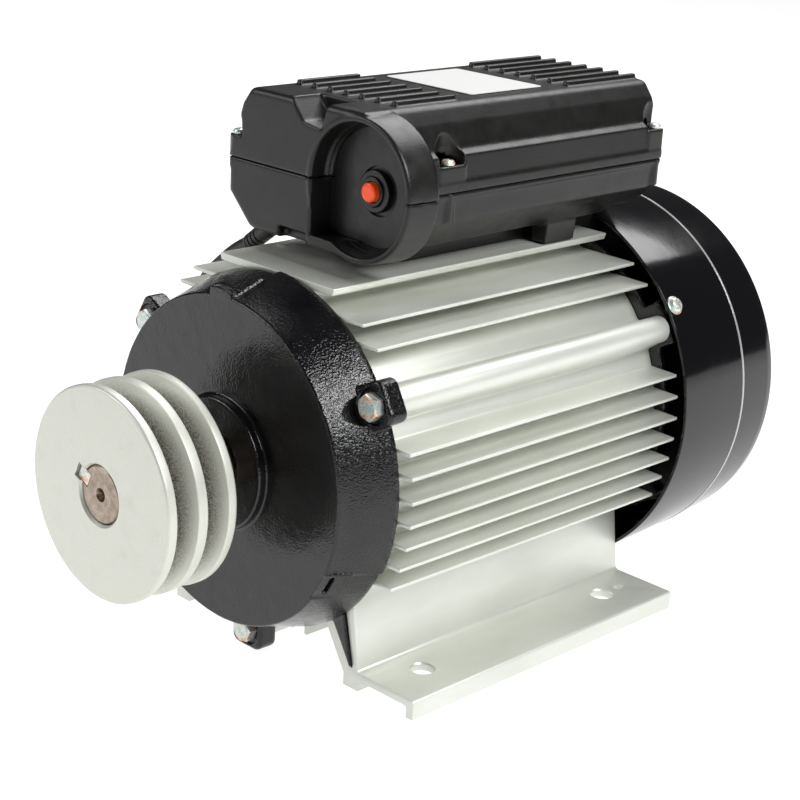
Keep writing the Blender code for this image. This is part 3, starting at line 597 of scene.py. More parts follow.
def label_film():
    """White film with faint ruled lines instead of print."""
    made = Finish("label_film", (0.83, 0.83, 0.82), 0.34)
    split = made.node("SeparateXYZ", Vector=made.place)
    stripe = made.math("PINGPONG", split.outputs["X"], 2.6 * MM)
    line = made.ramp(stripe, 0.14 * MM, 0.10 * MM)
    side = made.math("ABSOLUTE", made.math("SUBTRACT", split.outputs["Y"], (FRONT + 193.2) * MM))
    inside = made.ramp(side, 20.6 * MM, 20.4 * MM)
    share = made.math("MULTIPLY", made.math("MULTIPLY", line, inside, clamp=True), 0.28)
    made.coloured(share, (0.84, 0.84, 0.83), (0.45, 0.46, 0.47))
    made.grain(9, 2, 0.03)
    return made.made


def laminations():
    """Stacked electrical sheet: half-millimetre layers along the shaft."""
    made = Finish("laminations", (0.26, 0.26, 0.27), 0.45, 1.0)
    layers = made.noise(0.5, 1, (60, 1, 60))
    made.coloured(layers, (0.36, 0.36, 0.37), (0.15, 0.15, 0.16))
    made.bump(layers, 0.05)
    return made.made


def copper_winding():
    made = Finish("copper_winding", (0.72, 0.28, 0.12), 0.32, 0.9, 0.4)
    strands = made.noise(1.1, 2, (1, 1, 1), 0.7)
    made.coloured(strands, (0.80, 0.34, 0.15), (0.36, 0.12, 0.05))
    made.bump(strands, 0.35)
    return made.made


def brass():
    made = Finish("brass", (0.78, 0.58, 0.24), 0.28, 1.0)
    made.patchy(1.5, 3, 0.22, 0.38)
    return made.made


def cream_plastic():
    made = Finish("cream_plastic", (0.70, 0.66, 0.55), 0.38)
    made.coloured(made.noise(14, 3), (0.72, 0.68, 0.57), (0.64, 0.59, 0.48))
    made.grain(0.6, 2, 0.02)
    return made.made


def die_cast():
    made = Finish("die_cast", (0.66, 0.66, 0.64), 0.40, 1.0)
    made.patchy(2.5, 4, 0.32, 0.55)
    made.grain(0.9, 3, 0.05)
    return made.made


# Frame ------------------------------------

BARREL = 71.5
FIN_TIP = 85.0
SIDE_FINS = (66.8, 58.9, 21.4, 11.8, 1.8, -8.2, -18.2, -28.2, -38.2)
LOW_FINS = (27.0, 18.0)
FRAME_FRONT, FRAME_REAR = 87.9, 258.1
WIRE_WAY_Y = 170.0              # hole from the frame up into the box
FEET = ((73.4, 112.0, 5.0, 5.6), (73.4, 230.0, 5.0, 5.6), (72.4, 242.7, 1.7, 3.8))


def barrel_at(z):
    return math.sqrt(BARREL ** 2 - z ** 2), z


def barrel_run(top, bottom, count=4):
    """Points of the barrel between two heights, ends left out."""
    return [barrel_at(top + (bottom - top) * i / count) for i in range(1, count)]


def fin(z):
    """One side fin: filleted root, thinner rounded tip."""
    tip = math.sqrt(FIN_TIP ** 2 - z ** 2)
    return [(*barrel_at(z + 1.1), 0.8), (tip, z + 0.72, 0.4), (tip, z - 0.72, 0.4),
            (*barrel_at(z - 1.1), 0.8)]


def bolt_rib(angle):
    centre = polar(BOLT_CIRCLE, angle)
    return ([(*polar(BARREL, angle + 5.4), 1.5)] + arc(6.1, angle + 100, angle - 100, 25, centre)
            + [(*polar(BARREL, angle - 5.4), 1.5)])


def frame_outline():
    """Right half of the section, from the top centre to the bottom centre, then mirrored."""
    half = [(35.2, 77.5, 0.5), (34.2, 74.5, 0.5), (20, 74.1, 1.2), (*barrel_at(68.6), 0.8)]
    for z in SIDE_FINS[:2]:
        half += fin(z)
    half += barrel_run(SIDE_FINS[1] - 1.1, polar(BARREL, 36)[1]) + bolt_rib(30)
    half += barrel_run(polar(BARREL, 24)[1], SIDE_FINS[2] + 1.1)
    for z, below in zip(SIDE_FINS[2:], SIDE_FINS[3:] + (None,)):
        half += fin(z)
        if below is not None:
            half += barrel_run(z - 1.1, below + 1.1)
    half += barrel_run(SIDE_FINS[-1] - 1.1, -46.5)
    half += [(*barrel_at(-46.5), 1.5), (59.2, -81.5, 2.0), (92, -81.5, 1.0), (92, FLOOR, 0.4),
             (88, FLOOR, 0.4), (88, -85, 1.0), (60, -85, 1.0), (60, FLOOR, 0.4), (51, FLOOR, 0.4),
             (51, -84.5, 1.0), (38.6, -64.8, 1.5), (*barrel_at(-62.5), 1.0)]
    for x in LOW_FINS:
        root = -math.sqrt(BARREL ** 2 - x ** 2)
        half += [(x + 1.1, root, 0.8), (x + 0.8, -76.5, 0.4), (x - 0.8, -76.5, 0.4), (x - 1.1, root, 0.8)]
    half += [(*polar(BARREL, 276), 1.5)] + arc(6.1, 370, 272, 13, polar(BOLT_CIRCLE, 270))
    half += [(0, -BOLT_CIRCLE - 6.1)]
    left = [(-corner[0], *corner[1:]) for corner in reversed(half) if corner[0] > 0.01]
    return rounded([(0, 77.5)] + half + left)


def make_frame():
    void = ((42.8, -61.8, 0.8), (50.7, -55.3, 0.8), (56.3, -80.2, 0.4), (55.2, -80.6, 0.4))
    loops = [frame_outline(), arc(65.3, 0, 360 - 360 / FINE, FINE)]
    for side in (-1, 1):
        loops.append(rounded([(side * x, z, r) for x, z, r in void]))
    for angle in BOLT_ANGLES:
        loops.append(arc(3.3, 0, 345, 24, polar(BOLT_CIRCLE, angle)))
    steps = cut(rod(9, 55, 85, upright(0, WIRE_WAY_Y)))
    for side in (-1, 1):
        for x, y, radius, mouth in FEET:
            bore = [(0, -95), (radius, -95), (radius, -82.2), (mouth, -81.4), (mouth + 0.3, -81), (0, -81)]
            steps += cut(spun(bore, SMALL, upright(side * x, y)))
    mesh = shaped(section(loops, FRAME_FRONT, FRAME_REAR, 0.15, 1), steps)
    piece("frame_extrusion", mesh, extruded_aluminium(), stands_for=["motor_frame"], sharp=25)


# End bells --------------------------------

BELL_FACE = 62.0
BELL_BACK = 87.6
LUG_FRONT = 79.6


def sector(outline, first, last):
    """Closed outline of (radius, y) swept about the shaft between two angles."""
    work = bmesh.new()
    start = Matrix.Rotation(-math.radians(first), 4, "Y")
    face = work.faces.new([work.verts.new(start @ Vector((r, y, 0))) for r, y in outline])
    bmesh.ops.spin(work, geom=[face] + list(face.edges) + list(face.verts), cent=(0, 0, 0),
                   axis=(0, 1, 0), dvec=(0, 0, 0), angle=-math.radians(last - first),
                   steps=max(2, int(abs(last - first) / 3)))
    return work


def bell_band():
    """Band on the bell's cone, flush at the disc and proud at the back, on the right side."""
    return rounded([(60, 66), (60, 62.4), (70.0, 62.2), (78.2, 85.4, 0.8), (78.2, BELL_BACK),
                    (60, BELL_BACK)])


def bell_marks():
    """Raised flat with a slit behind it near the top, and a relief with another at the lower right."""
    corners = ((60, 88), (72.0, 87.6), (72.9, 91), (73.4, 95), (73.3, 98.2), (60, 98))
    flat = [polar(radius, angle) for radius, angle in corners]
    return join(sector([(60, 62.2), (71.2, 62.4), (77.4, 78.5), (60, 78.5)], 86.9, 88.0),
                sector([(60, 62.2), (71.0, 62.4), (75.0, 73.2), (60, 73.2)], -24.6, -23.4),
                prism(flat, BELL_FACE, 66.6)) + cut(
        sector([(69.2, 66.6), (80, 66.6), (80, 68.8), (69.8, 68.8)], 88.2, 97.5),
        sector([(69.4, 60), (69.4, 62), (72.9, 73), (80, 73), (80, 60)], -36, -24.6),
        sector([(67.6, 66.2), (80, 66.2), (80, 68.4), (68.6, 68.4)], -34, -26))


def make_front_bell(finish):
    body = rounded([(15, 57.4), (28.5, 57.4, 1.3), (28.5, BELL_FACE), (70.2, BELL_FACE, 0.4),
                    (76.8, 85.4, 1.0), (76.8, BELL_BACK), (65, BELL_BACK), (65, 92), (60, 92), (58, 69),
                    (31, 69), (31, 77.8), (26.3, 77.8), (26.3, 61.5), (15, 61.5)])
    steps = join(sector(bell_band(), -24.2, 87.4)) + bell_marks()
    for angle in BOLT_ANGLES:
        lug = cushion([(64, -9.2, 0.5), (89.2, -9.2, 4.0), (89.2, 9.2, 4.0), (64, 9.2, 0.5)],
                      LUG_FRONT - 1.8, BELL_BACK, 1.6)
        lug.transform(Matrix.Rotation(-math.radians(angle), 4, "Y"))
        steps += join(lug)
        x, z = polar(BOLT_CIRCLE, angle)
        for radius, rear in ((8.4, LUG_FRONT - 1.9), (7.4, LUG_FRONT), (3.4, 95)):
            steps += cut(rod(radius, 60, rear, along(x, z)))
    for side in (-1, 1):
        tongue = [(side * x, z) for x, z in ((43.8, -61.6), (50.3, -56.2), (55.9, -79.6), (55.3, -79.8))]
        steps += join(prism(tongue, 86.5, 90.5))
    mesh = softened(shaped(spun(body), steps), 0.55, 1)
    roughened(mesh, 0.06, 7, 5)
    piece("front_bell_casting", mesh, finish, stands_for=["front_end_bell"], sharp=180)


def make_rear_bell(finish):
    face = 258.4
    body = rounded([(60, 253), (65, 253), (65, face), (77, face), (77, 261.5, 1.5), (64, 269, 3),
                    (30, 272, 3), (28.5, 280.5, 1.5), (12.5, 280.5), (12.5, 277), (23.8, 277),
                    (23.8, 261), (30, 261), (56, 263), (60, 259)])
    steps = join(*(block((64, face, -8.2), (85.8, 267, 8.2), angle) for angle in BOLT_ANGLES))
    for angle in COWL_SCREW_ANGLES:
        steps += join(block((64, face + 0.01, -5), (85.5, 266.8, 5), angle))
    for angle in BOLT_ANGLES:
        steps += cut(rod(3.4, 250, 275, along(*polar(BOLT_CIRCLE, angle))))
    for angle in COWL_SCREW_ANGLES:
        steps += cut(rod(2.3, 84, 92, radial(angle, COWL_SCREW_Y), 16))
    mesh = softened(shaped(spun(body), steps), 1.0, 2)
    roughened(mesh, 0.10, 7, 9)
    piece("rear_bell_casting", mesh, finish, stands_for=["rear_end_bell"], sharp=180)


# Bolts and screws -------------------------

ACROSS_FLATS = 9.9


def hexagon(across, front, rear, both_ends=False):
    """Hexagon prism whose corners are turned off in front or at both ends."""
    corner = across / math.sqrt(3)
    low = across / 2 - 0.2
    turned_off = [(0, front), (low, front), (corner + 0.4, front + 0.9)]
    if both_ends:
        turned_off += [(corner + 0.4, rear - 0.9), (low, rear), (0, rear)]
    else:
        turned_off += [(corner + 1, rear), (0, rear)]
    return shaped_work(prism(arc(corner, 0, 300, 6), front, rear), [("&", spun(turned_off, 48))])


def threaded(radius, start, end, pitch=1.0):
    """Profile of a rod whose surface is a row of thread crests."""
    points = []
    count = int((end - start) / pitch)
    for number in range(count):
        y = start + number * pitch
        points += [(radius, y), (radius - 0.35, y + pitch / 2)]
    return points + [(radius, start + count * pitch)]


def make_bolts(finish):
    for number, angle in enumerate(BOLT_ANGLES, 1):
        x, z = polar(BOLT_CIRCLE, angle)
        turn = along(x, z) @ Matrix.Rotation(math.radians(17 * number), 4, "Y")
        head = hexagon(ACROSS_FLATS, 74.9, 79.3)
        shank = [(0, 78.5), (2.95, 78.5), (2.95, 258)] + threaded(2.95, 259, 273) + [(2.2, 274), (0, 274)]
        mesh = shaped(head, join(spun(shank, 24), rod(4.4, 74.7, 75.2, Matrix.Identity(4))))
        place_local(mesh, turn)
        piece(f"hex_bolt_{number}", mesh, finish, stands_for=[f"through_bolt_{number}"])
        nut = hexagon(ACROSS_FLATS, 267.3, 272.3, True)
        mesh = shaped(nut, cut(rod(3.25, 260, 280, Matrix.Identity(4), 24)))
        place_local(mesh, turn)
        piece(f"hex_nut_{number}", mesh, finish, stands_for=[f"bolt_nut_{number}"])


def place_local(mesh, matrix):
    """Move a world mesh by a matrix written in the shaft's frame."""
    mesh.transform(TO_WORLD @ matrix @ TO_WORLD.inverted())


def screw_mesh(reach, head, height, shank, flange=0.0):
    """Pan-head screw along local +Y: the seat at 0, a cross recess in the top."""
    profile = [(0, -reach), (shank - 0.4, -reach), (shank, -reach + 1), (shank, 0)]
    if flange:
        profile += [(flange, 0), (flange, 0.5), (head, 0.6)]
    else:
        profile += [(head, 0)]
    profile += [(head, height * 0.45), (head * 0.82, height * 0.85), (head * 0.45, height), (0, height)]
    steps = []
    for turn in (0, 90):
        slot = block((-head * 0.55, height - 1.1, -0.42), (head * 0.55, height + 1, 0.42))
        slot.transform(Matrix.Rotation(math.radians(turn + 20), 4, "Y"))
        steps += cut(slot)
    return shaped(turned([(*p, 0.3) for p in profile], 40), steps)


def make_cowl_screws(finish):
    seat = 90.0
    for number, angle in enumerate(COWL_SCREW_ANGLES, 1):
        mesh = screw_mesh(4.6, 3.5, 2.5, 1.9, 4.4)
        place_local(mesh, radial(angle, COWL_SCREW_Y) @ Matrix.Translation((0, seat, 0)))
        piece(f"cowl_pan_screw_{number}", mesh, finish, stands_for=[f"cowl_screw_{number}"])


LID_SCREWS = ((-44.0, 104.6, 124.6), (44.0, 139.5, 123.6), (44.0, 274.6, 126.0), (-44.0, 274.6, 125.0))


def make_lid_screws(finish):
    for number, (x, y, seat) in enumerate(LID_SCREWS, 1):
        mesh = screw_mesh(seat - 106.5, 2.9, 2.2, 1.5)
        place_local(mesh, upright(x, y, seat))
        piece(f"lid_pan_screw_{number}", mesh, finish, stands_for=[f"lid_screw_{number}"])


# Shaft and pulley -------------------------

def make_shaft(steel, zinc):
    profile = [(0, 7.4), (1.6, 6.4), (1.6, 3.6), (2.9, 0.9), (11.3, 0.9, 0.2), (12, 1.7, 0.2),
               (12, 60.8), (12.5, 60.8), (12.5, 76.8), (14, 76.8), (14, 109), (15, 109), (15, 229),
               (12, 229), (12, 262), (10, 262), (10, 278), (9, 278), (9, 318, 0.8), (0, 318)]
    slot = block((8.0, -2, -3.3), (20, 34.6, 3.3), KEY_ANGLE)
    mesh = shaped(turned(profile, 96), cut(slot))
    piece("turned_shaft", mesh, steel, "rotor", ["shaft"])
    key = bevelled(mesh_of(block((8.3, 0.9, -3.0), (14.9, 33.6, 3.0), KEY_ANGLE)), 0.3)
    piece("parallel_key", key, zinc, "rotor", ["shaft_key"])


def make_pulley():
    width, pitch, top, floor, rim, root = 33.6, 14.8, 10.4, 3.4, 44.0, 32.3
    outline = [(12.3, 1.2), (13.2, 0), (rim, 0, 1.3)]
    first = width / 2 - pitch / 2
    for centre in (first, first + pitch):
        outline += [(rim, centre - top / 2, 0.7), (root, centre - floor / 2, 1.0),
                    (root, centre + floor / 2, 1.0), (rim, centre + top / 2, 0.7)]
    outline += [(rim, width, 1.3), (12.9, width), (12.3, width - 0.7)]
    slot = block((8, -2, -3.4), (15.9, width + 2, 3.4), KEY_ANGLE)
    screw_way = rod(1.85, 15, 40, radial(KEY_ANGLE, width / 2 + pitch / 2), 20)
    mesh = shaped(spun(rounded(outline), VERY_FINE), cut(slot, screw_way))
    piece("grooved_pulley", mesh, pulley_aluminium(), "rotor", ["drive_pulley"], sharp=28)


# Cowl -------------------------------------

COWL_FRONT, COWL_REAR = 258.4, 333.0
BEAD = 304.8


def make_cowl(finish):
    outer = [(89.7, COWL_FRONT, 0.3), (88.0, BEAD - 1.2), (88.0, BEAD - 0.6), (87.3, BEAD + 0.6),
             (86.6, 326.5, 6.5), (85.6, COWL_REAR, 6.0), (30, COWL_REAR, 2), (27, COWL_REAR - 0.8, 2),
             (0, COWL_REAR - 0.8)]
    inner = [(0, COWL_REAR - 2.2), (80, COWL_REAR - 1.6, 4), (85.0, 325.5, 4), (85.4, BEAD),
             (88.2, COWL_FRONT, 0.3)]
    steps = []
    for row, (near, far, count) in enumerate(((16, 40, 5), (45, 72, 10))):
        for number in range(count):
            stadium = arc(4, 90, 270, 9, (near + 4, 0)) + arc(4, -90, 90, 9, (far - 4, 0))
            slot = prism(stadium, COWL_REAR - 8, COWL_REAR + 4)
            slot.transform(Matrix.Rotation(-math.radians((number + 0.5 * row) * 360 / count), 4, "Y"))
            steps += cut(slot)
    mesh = shaped(turned(inner + outer, VERY_FINE), steps)
    piece("cowl_shell", mesh, finish, stands_for=["fan_cowl"], sharp=28)
    bead = rounded([(87.3, BEAD - 0.9), (88.35, BEAD - 0.7, 0.4), (88.1, BEAD + 0.7, 0.4),
                    (87.0, BEAD + 0.9)])
    piece("cowl_bead", mesh_of(spun(bead, VERY_FINE)), bead_edge())


# Capacitor box ----------------------------

SEAM = 115.0
BOX_FRONT, BOX_REAR = 100.7, 278.7
TUBE_X, BUTTON_Z = 31.7, 113.5
TUBE_REAR = 117.0
RECESS = 26.8
RIB_PITCH = 9.43


def slab(half, front, rear, edge=0.0):
    outline = half + [(-c[0], *c[1:]) for c in reversed(half)]
    return cushion(outline, front, rear, edge) if edge else prism(rounded(outline), front, rear)


def housing():
    """Round housing of the switch panel, slightly tapered, with a softened front rim."""
    profile = [(0, BOX_FRONT), (29.6, BOX_FRONT, 1.0), (30.6, TUBE_REAR, 0.8), (0, TUBE_REAR)]
    return turned(profile, 96, along(TUBE_X, SEAM))


def housing_core():
    """What the hollow of the box leaves standing behind the switch panel."""
    return rod(29.4, BOX_FRONT - 5, TUBE_REAR, along(TUBE_X, SEAM))


def recess_tools():
    """The round recess with its inner ledge; below the seam its inner side drops straight down."""
    ledge = [(0, BOX_FRONT - 4), (RECESS + 1.0, BOX_FRONT - 4), (RECESS + 0.6, BOX_FRONT),
             (RECESS, BOX_FRONT + 1), (RECESS, 109.0), (RECESS - 1.2, 109.1), (RECESS - 1.2, 110.8),
             (RECESS - 2.2, 110.9), (RECESS - 2.2, 115), (0, 115)]
    left = TUBE_X - RECESS + 0.3
    square = [(left, SEAM - 0.5), (left, 91.5), (TUBE_X - 8, 91.5), (TUBE_X - 8, SEAM - 0.5)]
    return cut(spun(ledge, 96, along(TUBE_X, SEAM)), prism(square, BOX_FRONT - 4, 113.4))


def seam_cut(seam, far):
    """Tools that take away one half of the box; along the right side the seam runs a little lower."""
    lower = seam - 2.7
    front = [(-70, far), (-70, seam), (70, seam), (70, far)]
    behind = [(-70, far), (-70, seam), (34, seam), (34, lower), (70, lower), (70, far)]
    return cut(prism(front, 80, 118), prism(behind, 117.9, 300))


def make_lid(finish):
    half = [(34.0, 146, 4.5), (39.4, 139.0, 4.0), (43.0, 129.2, 4.0), (46.2, 127.4, 0.6), (47.1, 117.0),
            (47.1, 100)]
    lip = [(47.6, 116.6, 0.3), (47.6, 100)]
    room = [(29, 143), (35.5, 138), (38.5, 126), (44.2, 123), (44.6, 100)]
    steps = join(slab(lip, BOX_FRONT, BOX_REAR, 2.6))
    for x, y, seat in LID_SCREWS:
        low_x, high_x = sorted((math.copysign(36, x), math.copysign(47.4, x)))
        low_y, high_y = max(y - 7.6, BOX_FRONT + 1.2), min(y + 7.6, BOX_REAR - 1.2)
        steps += join(block((low_x, low_y, 104), (high_x, high_y, seat + 0.01)))
    steps += join(housing())
    lining = prism([(-11, 151), (-11, 142), (-2.5, 134), (11, 132.6), (17, 151)], BOX_FRONT - 4, 119.6)
    steps += cut(shaped_work(slab(room, BOX_FRONT + 2.5, BOX_REAR - 2.5), cut(lining, housing_core())))
    for front, rear in ((122.5, 157.5), (228.0, 276.0)):
        for number in range(7):
            x = (number - 3) * RIB_PITCH
            rib = rounded([(x - 1.35, 145), (x - 1.25, 148.2, 0.5), (x + 1.25, 148.2, 0.5), (x + 1.35, 145)])
            steps += join(prism(rib, front, rear))
    notch = [(-8.6, 152), (-8.3, 145.6), (-0.9, 137.2), (9.5, 135.6), (14.5, 152)]
    steps += cut(prism(notch, BOX_FRONT - 4, 116.8))
    steps += recess_tools()
    for x, y, seat in LID_SCREWS:
        scoop = [(0, seat), (7.4, seat), (7.2, seat + 6, 5), (4.6, seat + 14.5, 4), (0, seat + 16)]
        steps += cut(turned(scoop, 48, upright(x + math.copysign(1.6, x), y)))
        steps += cut(rod(1.9, 90, 135, upright(x, y), 20))
    steps += cut(rod(8, 110, 122, along(TUBE_X, BUTTON_Z)))
    steps += seam_cut(SEAM + 0.12, 70)
    mesh = softened(shaped(slab(half, BOX_FRONT + 0.3, BOX_REAR - 0.3, 2.6), steps), 0.65, 2)
    piece("lid_moulding", mesh, finish, stands_for=["terminal_box_lid"], sharp=180)


def make_base(finish):
    half = [(47.3, 125), (47.3, 110.4, 0.6), (46.5, 109.6, 0.6), (45.9, 99.6, 4.0), (33.2, 87.2, 1.5),
            (30, 86.4, 1.0)]
    room = [(45, 125), (44, 110.6), (42.2, 101.8), (36.4, 95.4), (31.6, 91.2), (29, 90.3)]
    steps = join(housing(), *(rod(3.5, 100, 121, upright(x, y), 24) for x, y, _ in LID_SCREWS))
    keep = cut(housing_core(), block((-60, 250, 80), (60, 290, 93.6)),
               block((1.0, BOX_FRONT, 80), (14, 116.5, 118)),
               *(rod(3.4, 98, 121, upright(x, y), 24) for x, y, _ in LID_SCREWS))
    steps += cut(shaped_work(slab(room, BOX_FRONT + 2.5, BOX_REAR - 2.5), keep))
    steps += cut(wedge_step())
    for side in (-1, 1):
        leg = ((34.8, 78.0), (35.6, 88), (44.0, 97), (45.0, 105), (30, 105), (26, 90), (26, 78.0))
        steps += join(prism([(side * x, z) for x, z in leg], 215.5, 235))
        groove = ((29, 92), (33, 92), (40, 99), (40, 104), (29, 104))
        steps += cut(prism([(side * x, z) for x, z in groove], 211, 239))
    steps += join(block((-21, 140, 77.8), (21, 250, 89)))
    steps += cut(rod(9, 70, 99, upright(0, WIRE_WAY_Y)))
    steps += cut(block((-14, BOX_FRONT - 3, 80), (TUBE_X - RECESS - 2, BOX_FRONT + 5, 91.4)))
    steps += recess_tools()
    steps += cut(*(rod(1.9, 104, 125, upright(x, y), 20) for x, y, _ in LID_SCREWS))
    steps += cut(rod(8, 110, 122, along(TUBE_X, BUTTON_Z)), rod(4.8, -14, 32, gland_place()))
    steps += seam_cut(SEAM - 0.12, 160)
    mesh = softened(shaped(slab(half, BOX_FRONT + 0.3, BOX_REAR - 0.3, 2.2), steps), 0.65, 2)
    piece("base_moulding", mesh, finish, stands_for=["terminal_box_base"], sharp=180)


def wedge_step():
    """Underside over the cowl: it steps up and then slopes to the rear end."""
    outline = [(255, 70), (255, 90), (258, 91.2), (268, 91.2), (281, 97.5), (290, 97.5), (290, 70)]
    return loft([[(x, y, z) for y, z in outline] for x in (-60, 60)])


def make_reset(panel_finish, red):
    centre = along(TUBE_X, SEAM)
    button = along(TUBE_X, BUTTON_Z)
    face = RECESS - 2.4
    panel = [(0, 111.9), (face, 111.9), (face, 114.6), (0, 114.6)]
    left = TUBE_X - RECESS + 0.6
    corner = [(left, SEAM - 0.8), (left, 91.8), (TUBE_X - 8, 91.8), (TUBE_X - 8, SEAM - 0.8)]
    well = rod(10.4, 109, 113.4, along(TUBE_X + 1.6, 113.8), 64)
    island = turned([(0, 114), (8.9, 114), (8.6, 110.6, 0.6), (6.4, 110.6, 0.3), (6.0, 109.4, 0.4),
                     (0, 109.4)], 64, along(TUBE_X - 0.2, BUTTON_Z))
    steps = (join(prism(corner, 111.9, 113.1)) + cut(well) + join(island)
             + cut(rod(4.5, 100, 120, button, 40)))
    mesh = shaped(spun(panel, 96, centre), steps)
    piece("switch_panel", mesh, panel_finish, stands_for=["reset_panel"], sharp=25)
    shape = [(0, 107.2), (2.6, 107.0, 1.5), (4, 107.3, 0.9), (4, 116.5), (0, 116.5)]
    piece("reset_knob", mesh_of(turned(shape, 48, button)), red, "reset", ["reset_button"])


def make_label():
    half, front, rear, top = 25.6, 171.0, 216.0, 146.3
    corners = rounded([(-half, front, 1.5), (-half, rear, 1.5), (half, rear, 1.5), (half, front, 1.5)])
    work = loft([[(x, y, z) for x, y in corners] for z in (top, top + 0.3)])
    piece("label_sheet", mesh_of(work), label_film(), stands_for=["rating_label"])


# Supply cord ------------------------------

CORD_RADIUS = 3.5
GLAND_START = Vector((-22.1, 115.4, 94.0))
GLAND_RUN = Vector((-0.8, 0.0, -0.6))
CORD_ROUTE = (
    (-48.0, -51.1, 164.6), (-56.3, -51.1, 159.6), (-66.0, -51.0, 152.0), (-79.0, -50.0, 140.0),
    (-89.5, -47.0, 121.0), (-96.0, -41.0, 97.0), (-100.5, -33.0, 73.0), (-104.0, -23.0, 49.0),
    (-106.5, -10.0, 28.0), (-108.0, 6.0, 12.0), (-108.3, 22.0, 4.8), (-108.3, 34.0, 3.6),
    (-108.3, 50.0, 3.6),
)
TAIL_ROUTE = (
    (-191.5, 48.5, 13.4), (-191.6, 38.0, 11.6), (-191.7, 26.0, 10.9), (-191.8, 14.0, 11.9),
    (-192.0, 2.0, 13.4),
)
COIL_CENTRE = (-150.0, 75.0)
COIL_OUTER, COIL_INNER = 41.6, 34.4
COIL_LAYERS = (3.7, 10.1, 16.4)


def gland_place():
    """Placing matrix whose local Y runs out along the strain relief."""
    return (Matrix.Translation(GLAND_START) @ Matrix.Rotation(math.atan2(GLAND_RUN.x, GLAND_RUN.z), 4, "Y")
            @ Matrix.Rotation(math.pi / 2, 4, "X"))


def ease(value, start, end):
    t = min(max((value - start) / (end - start), 0), 1)
    return t * t * (3 - 2 * t)


def coil_points():
    """Turns of the coil: out, in, up, out, up; each change of lane is a long easy ramp."""
    points = []
    steps = 24
    for number in range(1, int(4.5 * steps) + 1):
        turn = number / steps
        inward = ease(turn, 0.72, 1.0) - ease(turn, 2.72, 3.0)
        radius = COIL_OUTER + (COIL_INNER - COIL_OUTER) * inward
        low, middle, top = COIL_LAYERS
        height = low + (middle - low) * ease(turn, 1.74, 1.96) + (top - middle) * ease(turn, 3.74, 3.96)
        x, y = polar(radius, turn * 360)
        points.append((COIL_CENTRE[0] + x, COIL_CENTRE[1] + y, height))
    return points


def smooth(route, spacing):
    """Points on one smooth curve through the route's own points."""
    points = [Vector(p) for p in route]
    points = [2 * points[0] - points[1]] + points + [2 * points[-1] - points[-2]]
    result = []
    for before, start, end, after in zip(points, points[1:], points[2:], points[3:]):
        steps = max(1, round((end - start).length / spacing))
        for number in range(steps):
            t = number / steps
            result.append(0.5 * (2 * start + (end - before) * t
                                 + (2 * before - 5 * start + 4 * end - after) * t ** 2
                                 + (3 * start - before - 3 * end + after) * t ** 3))
    return result + [points[-2]]


def make_cord(finish, pin_finish):
    points = [p * MM for p in smooth(list(CORD_ROUTE) + coil_points() + list(TAIL_ROUTE), 4)]
    curve = bpy.data.curves.new("mains_cord", "CURVE")
    curve.dimensions = "3D"
    curve.bevel_depth = CORD_RADIUS * MM
    curve.bevel_resolution = 6
    curve.use_fill_caps = True
    spline = curve.splines.new("POLY")
    spline.points.add(len(points) - 1)
    for point, place in zip(spline.points, points):
        point.co = (*place, 1)
    spline.use_smooth = True
    curve.materials.append(finish)
    cord = linked("mains_cord", curve)
    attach(cord, FIXED)
    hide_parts("supply_cord", "supply_cord_coil", "supply_cord_tail")
    gland = make_gland(finish)
    plug, pins = make_plug(finish, pin_finish)


def make_gland(finish):
    """Tapered strain relief, smooth by the box and ribbed towards its thin end."""
    profile = [(0, -6), (4.1, -6), (4.1, 20.4)]
    for number in range(4):
        y = 21.2 + number * 2.6
        radius = 4.1 - number * 0.04
        profile += [(radius, y), (radius, y + 1.6), (radius - 0.45, y + 1.8), (radius - 0.45, y + 2.4)]
    profile += [(3.9, 31.4), (3.75, 32), (0, 32)]
    mesh = mesh_of(spun(profile, 40, gland_place()))
    return piece("strain_relief", mesh, finish, stands_for=["cord_gland"])


def make_plug(finish, pin_finish):
    """Moulded plug on its side: finger grip, ribbed neck and two round pins."""
    x, height, back = -192.0, 13.4, 1.6
    matrix = Matrix.Translation((x, back, height)) @ Matrix.Rotation(math.pi, 4, "Z")
    profile = [(0, -0.6), (4.6, -0.6)]
    for number in range(5):
        y = 0.8 + number * 2.4
        wider = number * 0.15
        profile += [(5.2 + wider, y), (5.2 + wider, y + 1.4), (4.6 + wider, y + 1.6)]
    profile += [(6.2, 13), (9, 18), (12.8, 24), (12.8, 40), (11.6, 42), (0, 42)]
    body = turned([(*p, 0.5) for p in profile], 64)
    grips = []
    for side in (-1, 1):
        for number in range(4):
            y = 25.5 + number * 3.6
            grips += cut(block((side * 12.2 - 1, y, -7), (side * 12.2 + 1, y + 1.6, 7)))
    mesh = bevelled(shaped(body, grips), 0.3, 40)
    mesh.transform(Matrix.Scale(MM, 4) @ matrix @ TO_WORLD.inverted())
    plug = piece("plug_moulding", mesh, finish, stands_for=["mains_plug"])
    pins = []
    for side in (-1, 1):
        place = Matrix.Scale(MM, 4) @ matrix @ Matrix.Translation((side * 6.7, 0, 0))
        pin = mesh_of(turned([(0, 42.1), (2.4, 42.1), (2.4, 61, 1.6), (0, 61)], SMALL), place)
        pins.append(piece(f"plug_pin_{(side + 3) // 2}", pin, pin_finish))
    return plug, pins


# Carried-over nodes -----------------------

def finish_nodes(finishes):
    """Give each CAD node that still shows the finish of its record slot."""
    for row in frame["record"]["subparts"]:
        node = frame["nodes"][row["node"]]
        if node.hide_render:
            continue
        node.data.materials.clear()
        node.data.materials.append(finishes[row["material_slot"]])


# Stage ------------------------------------

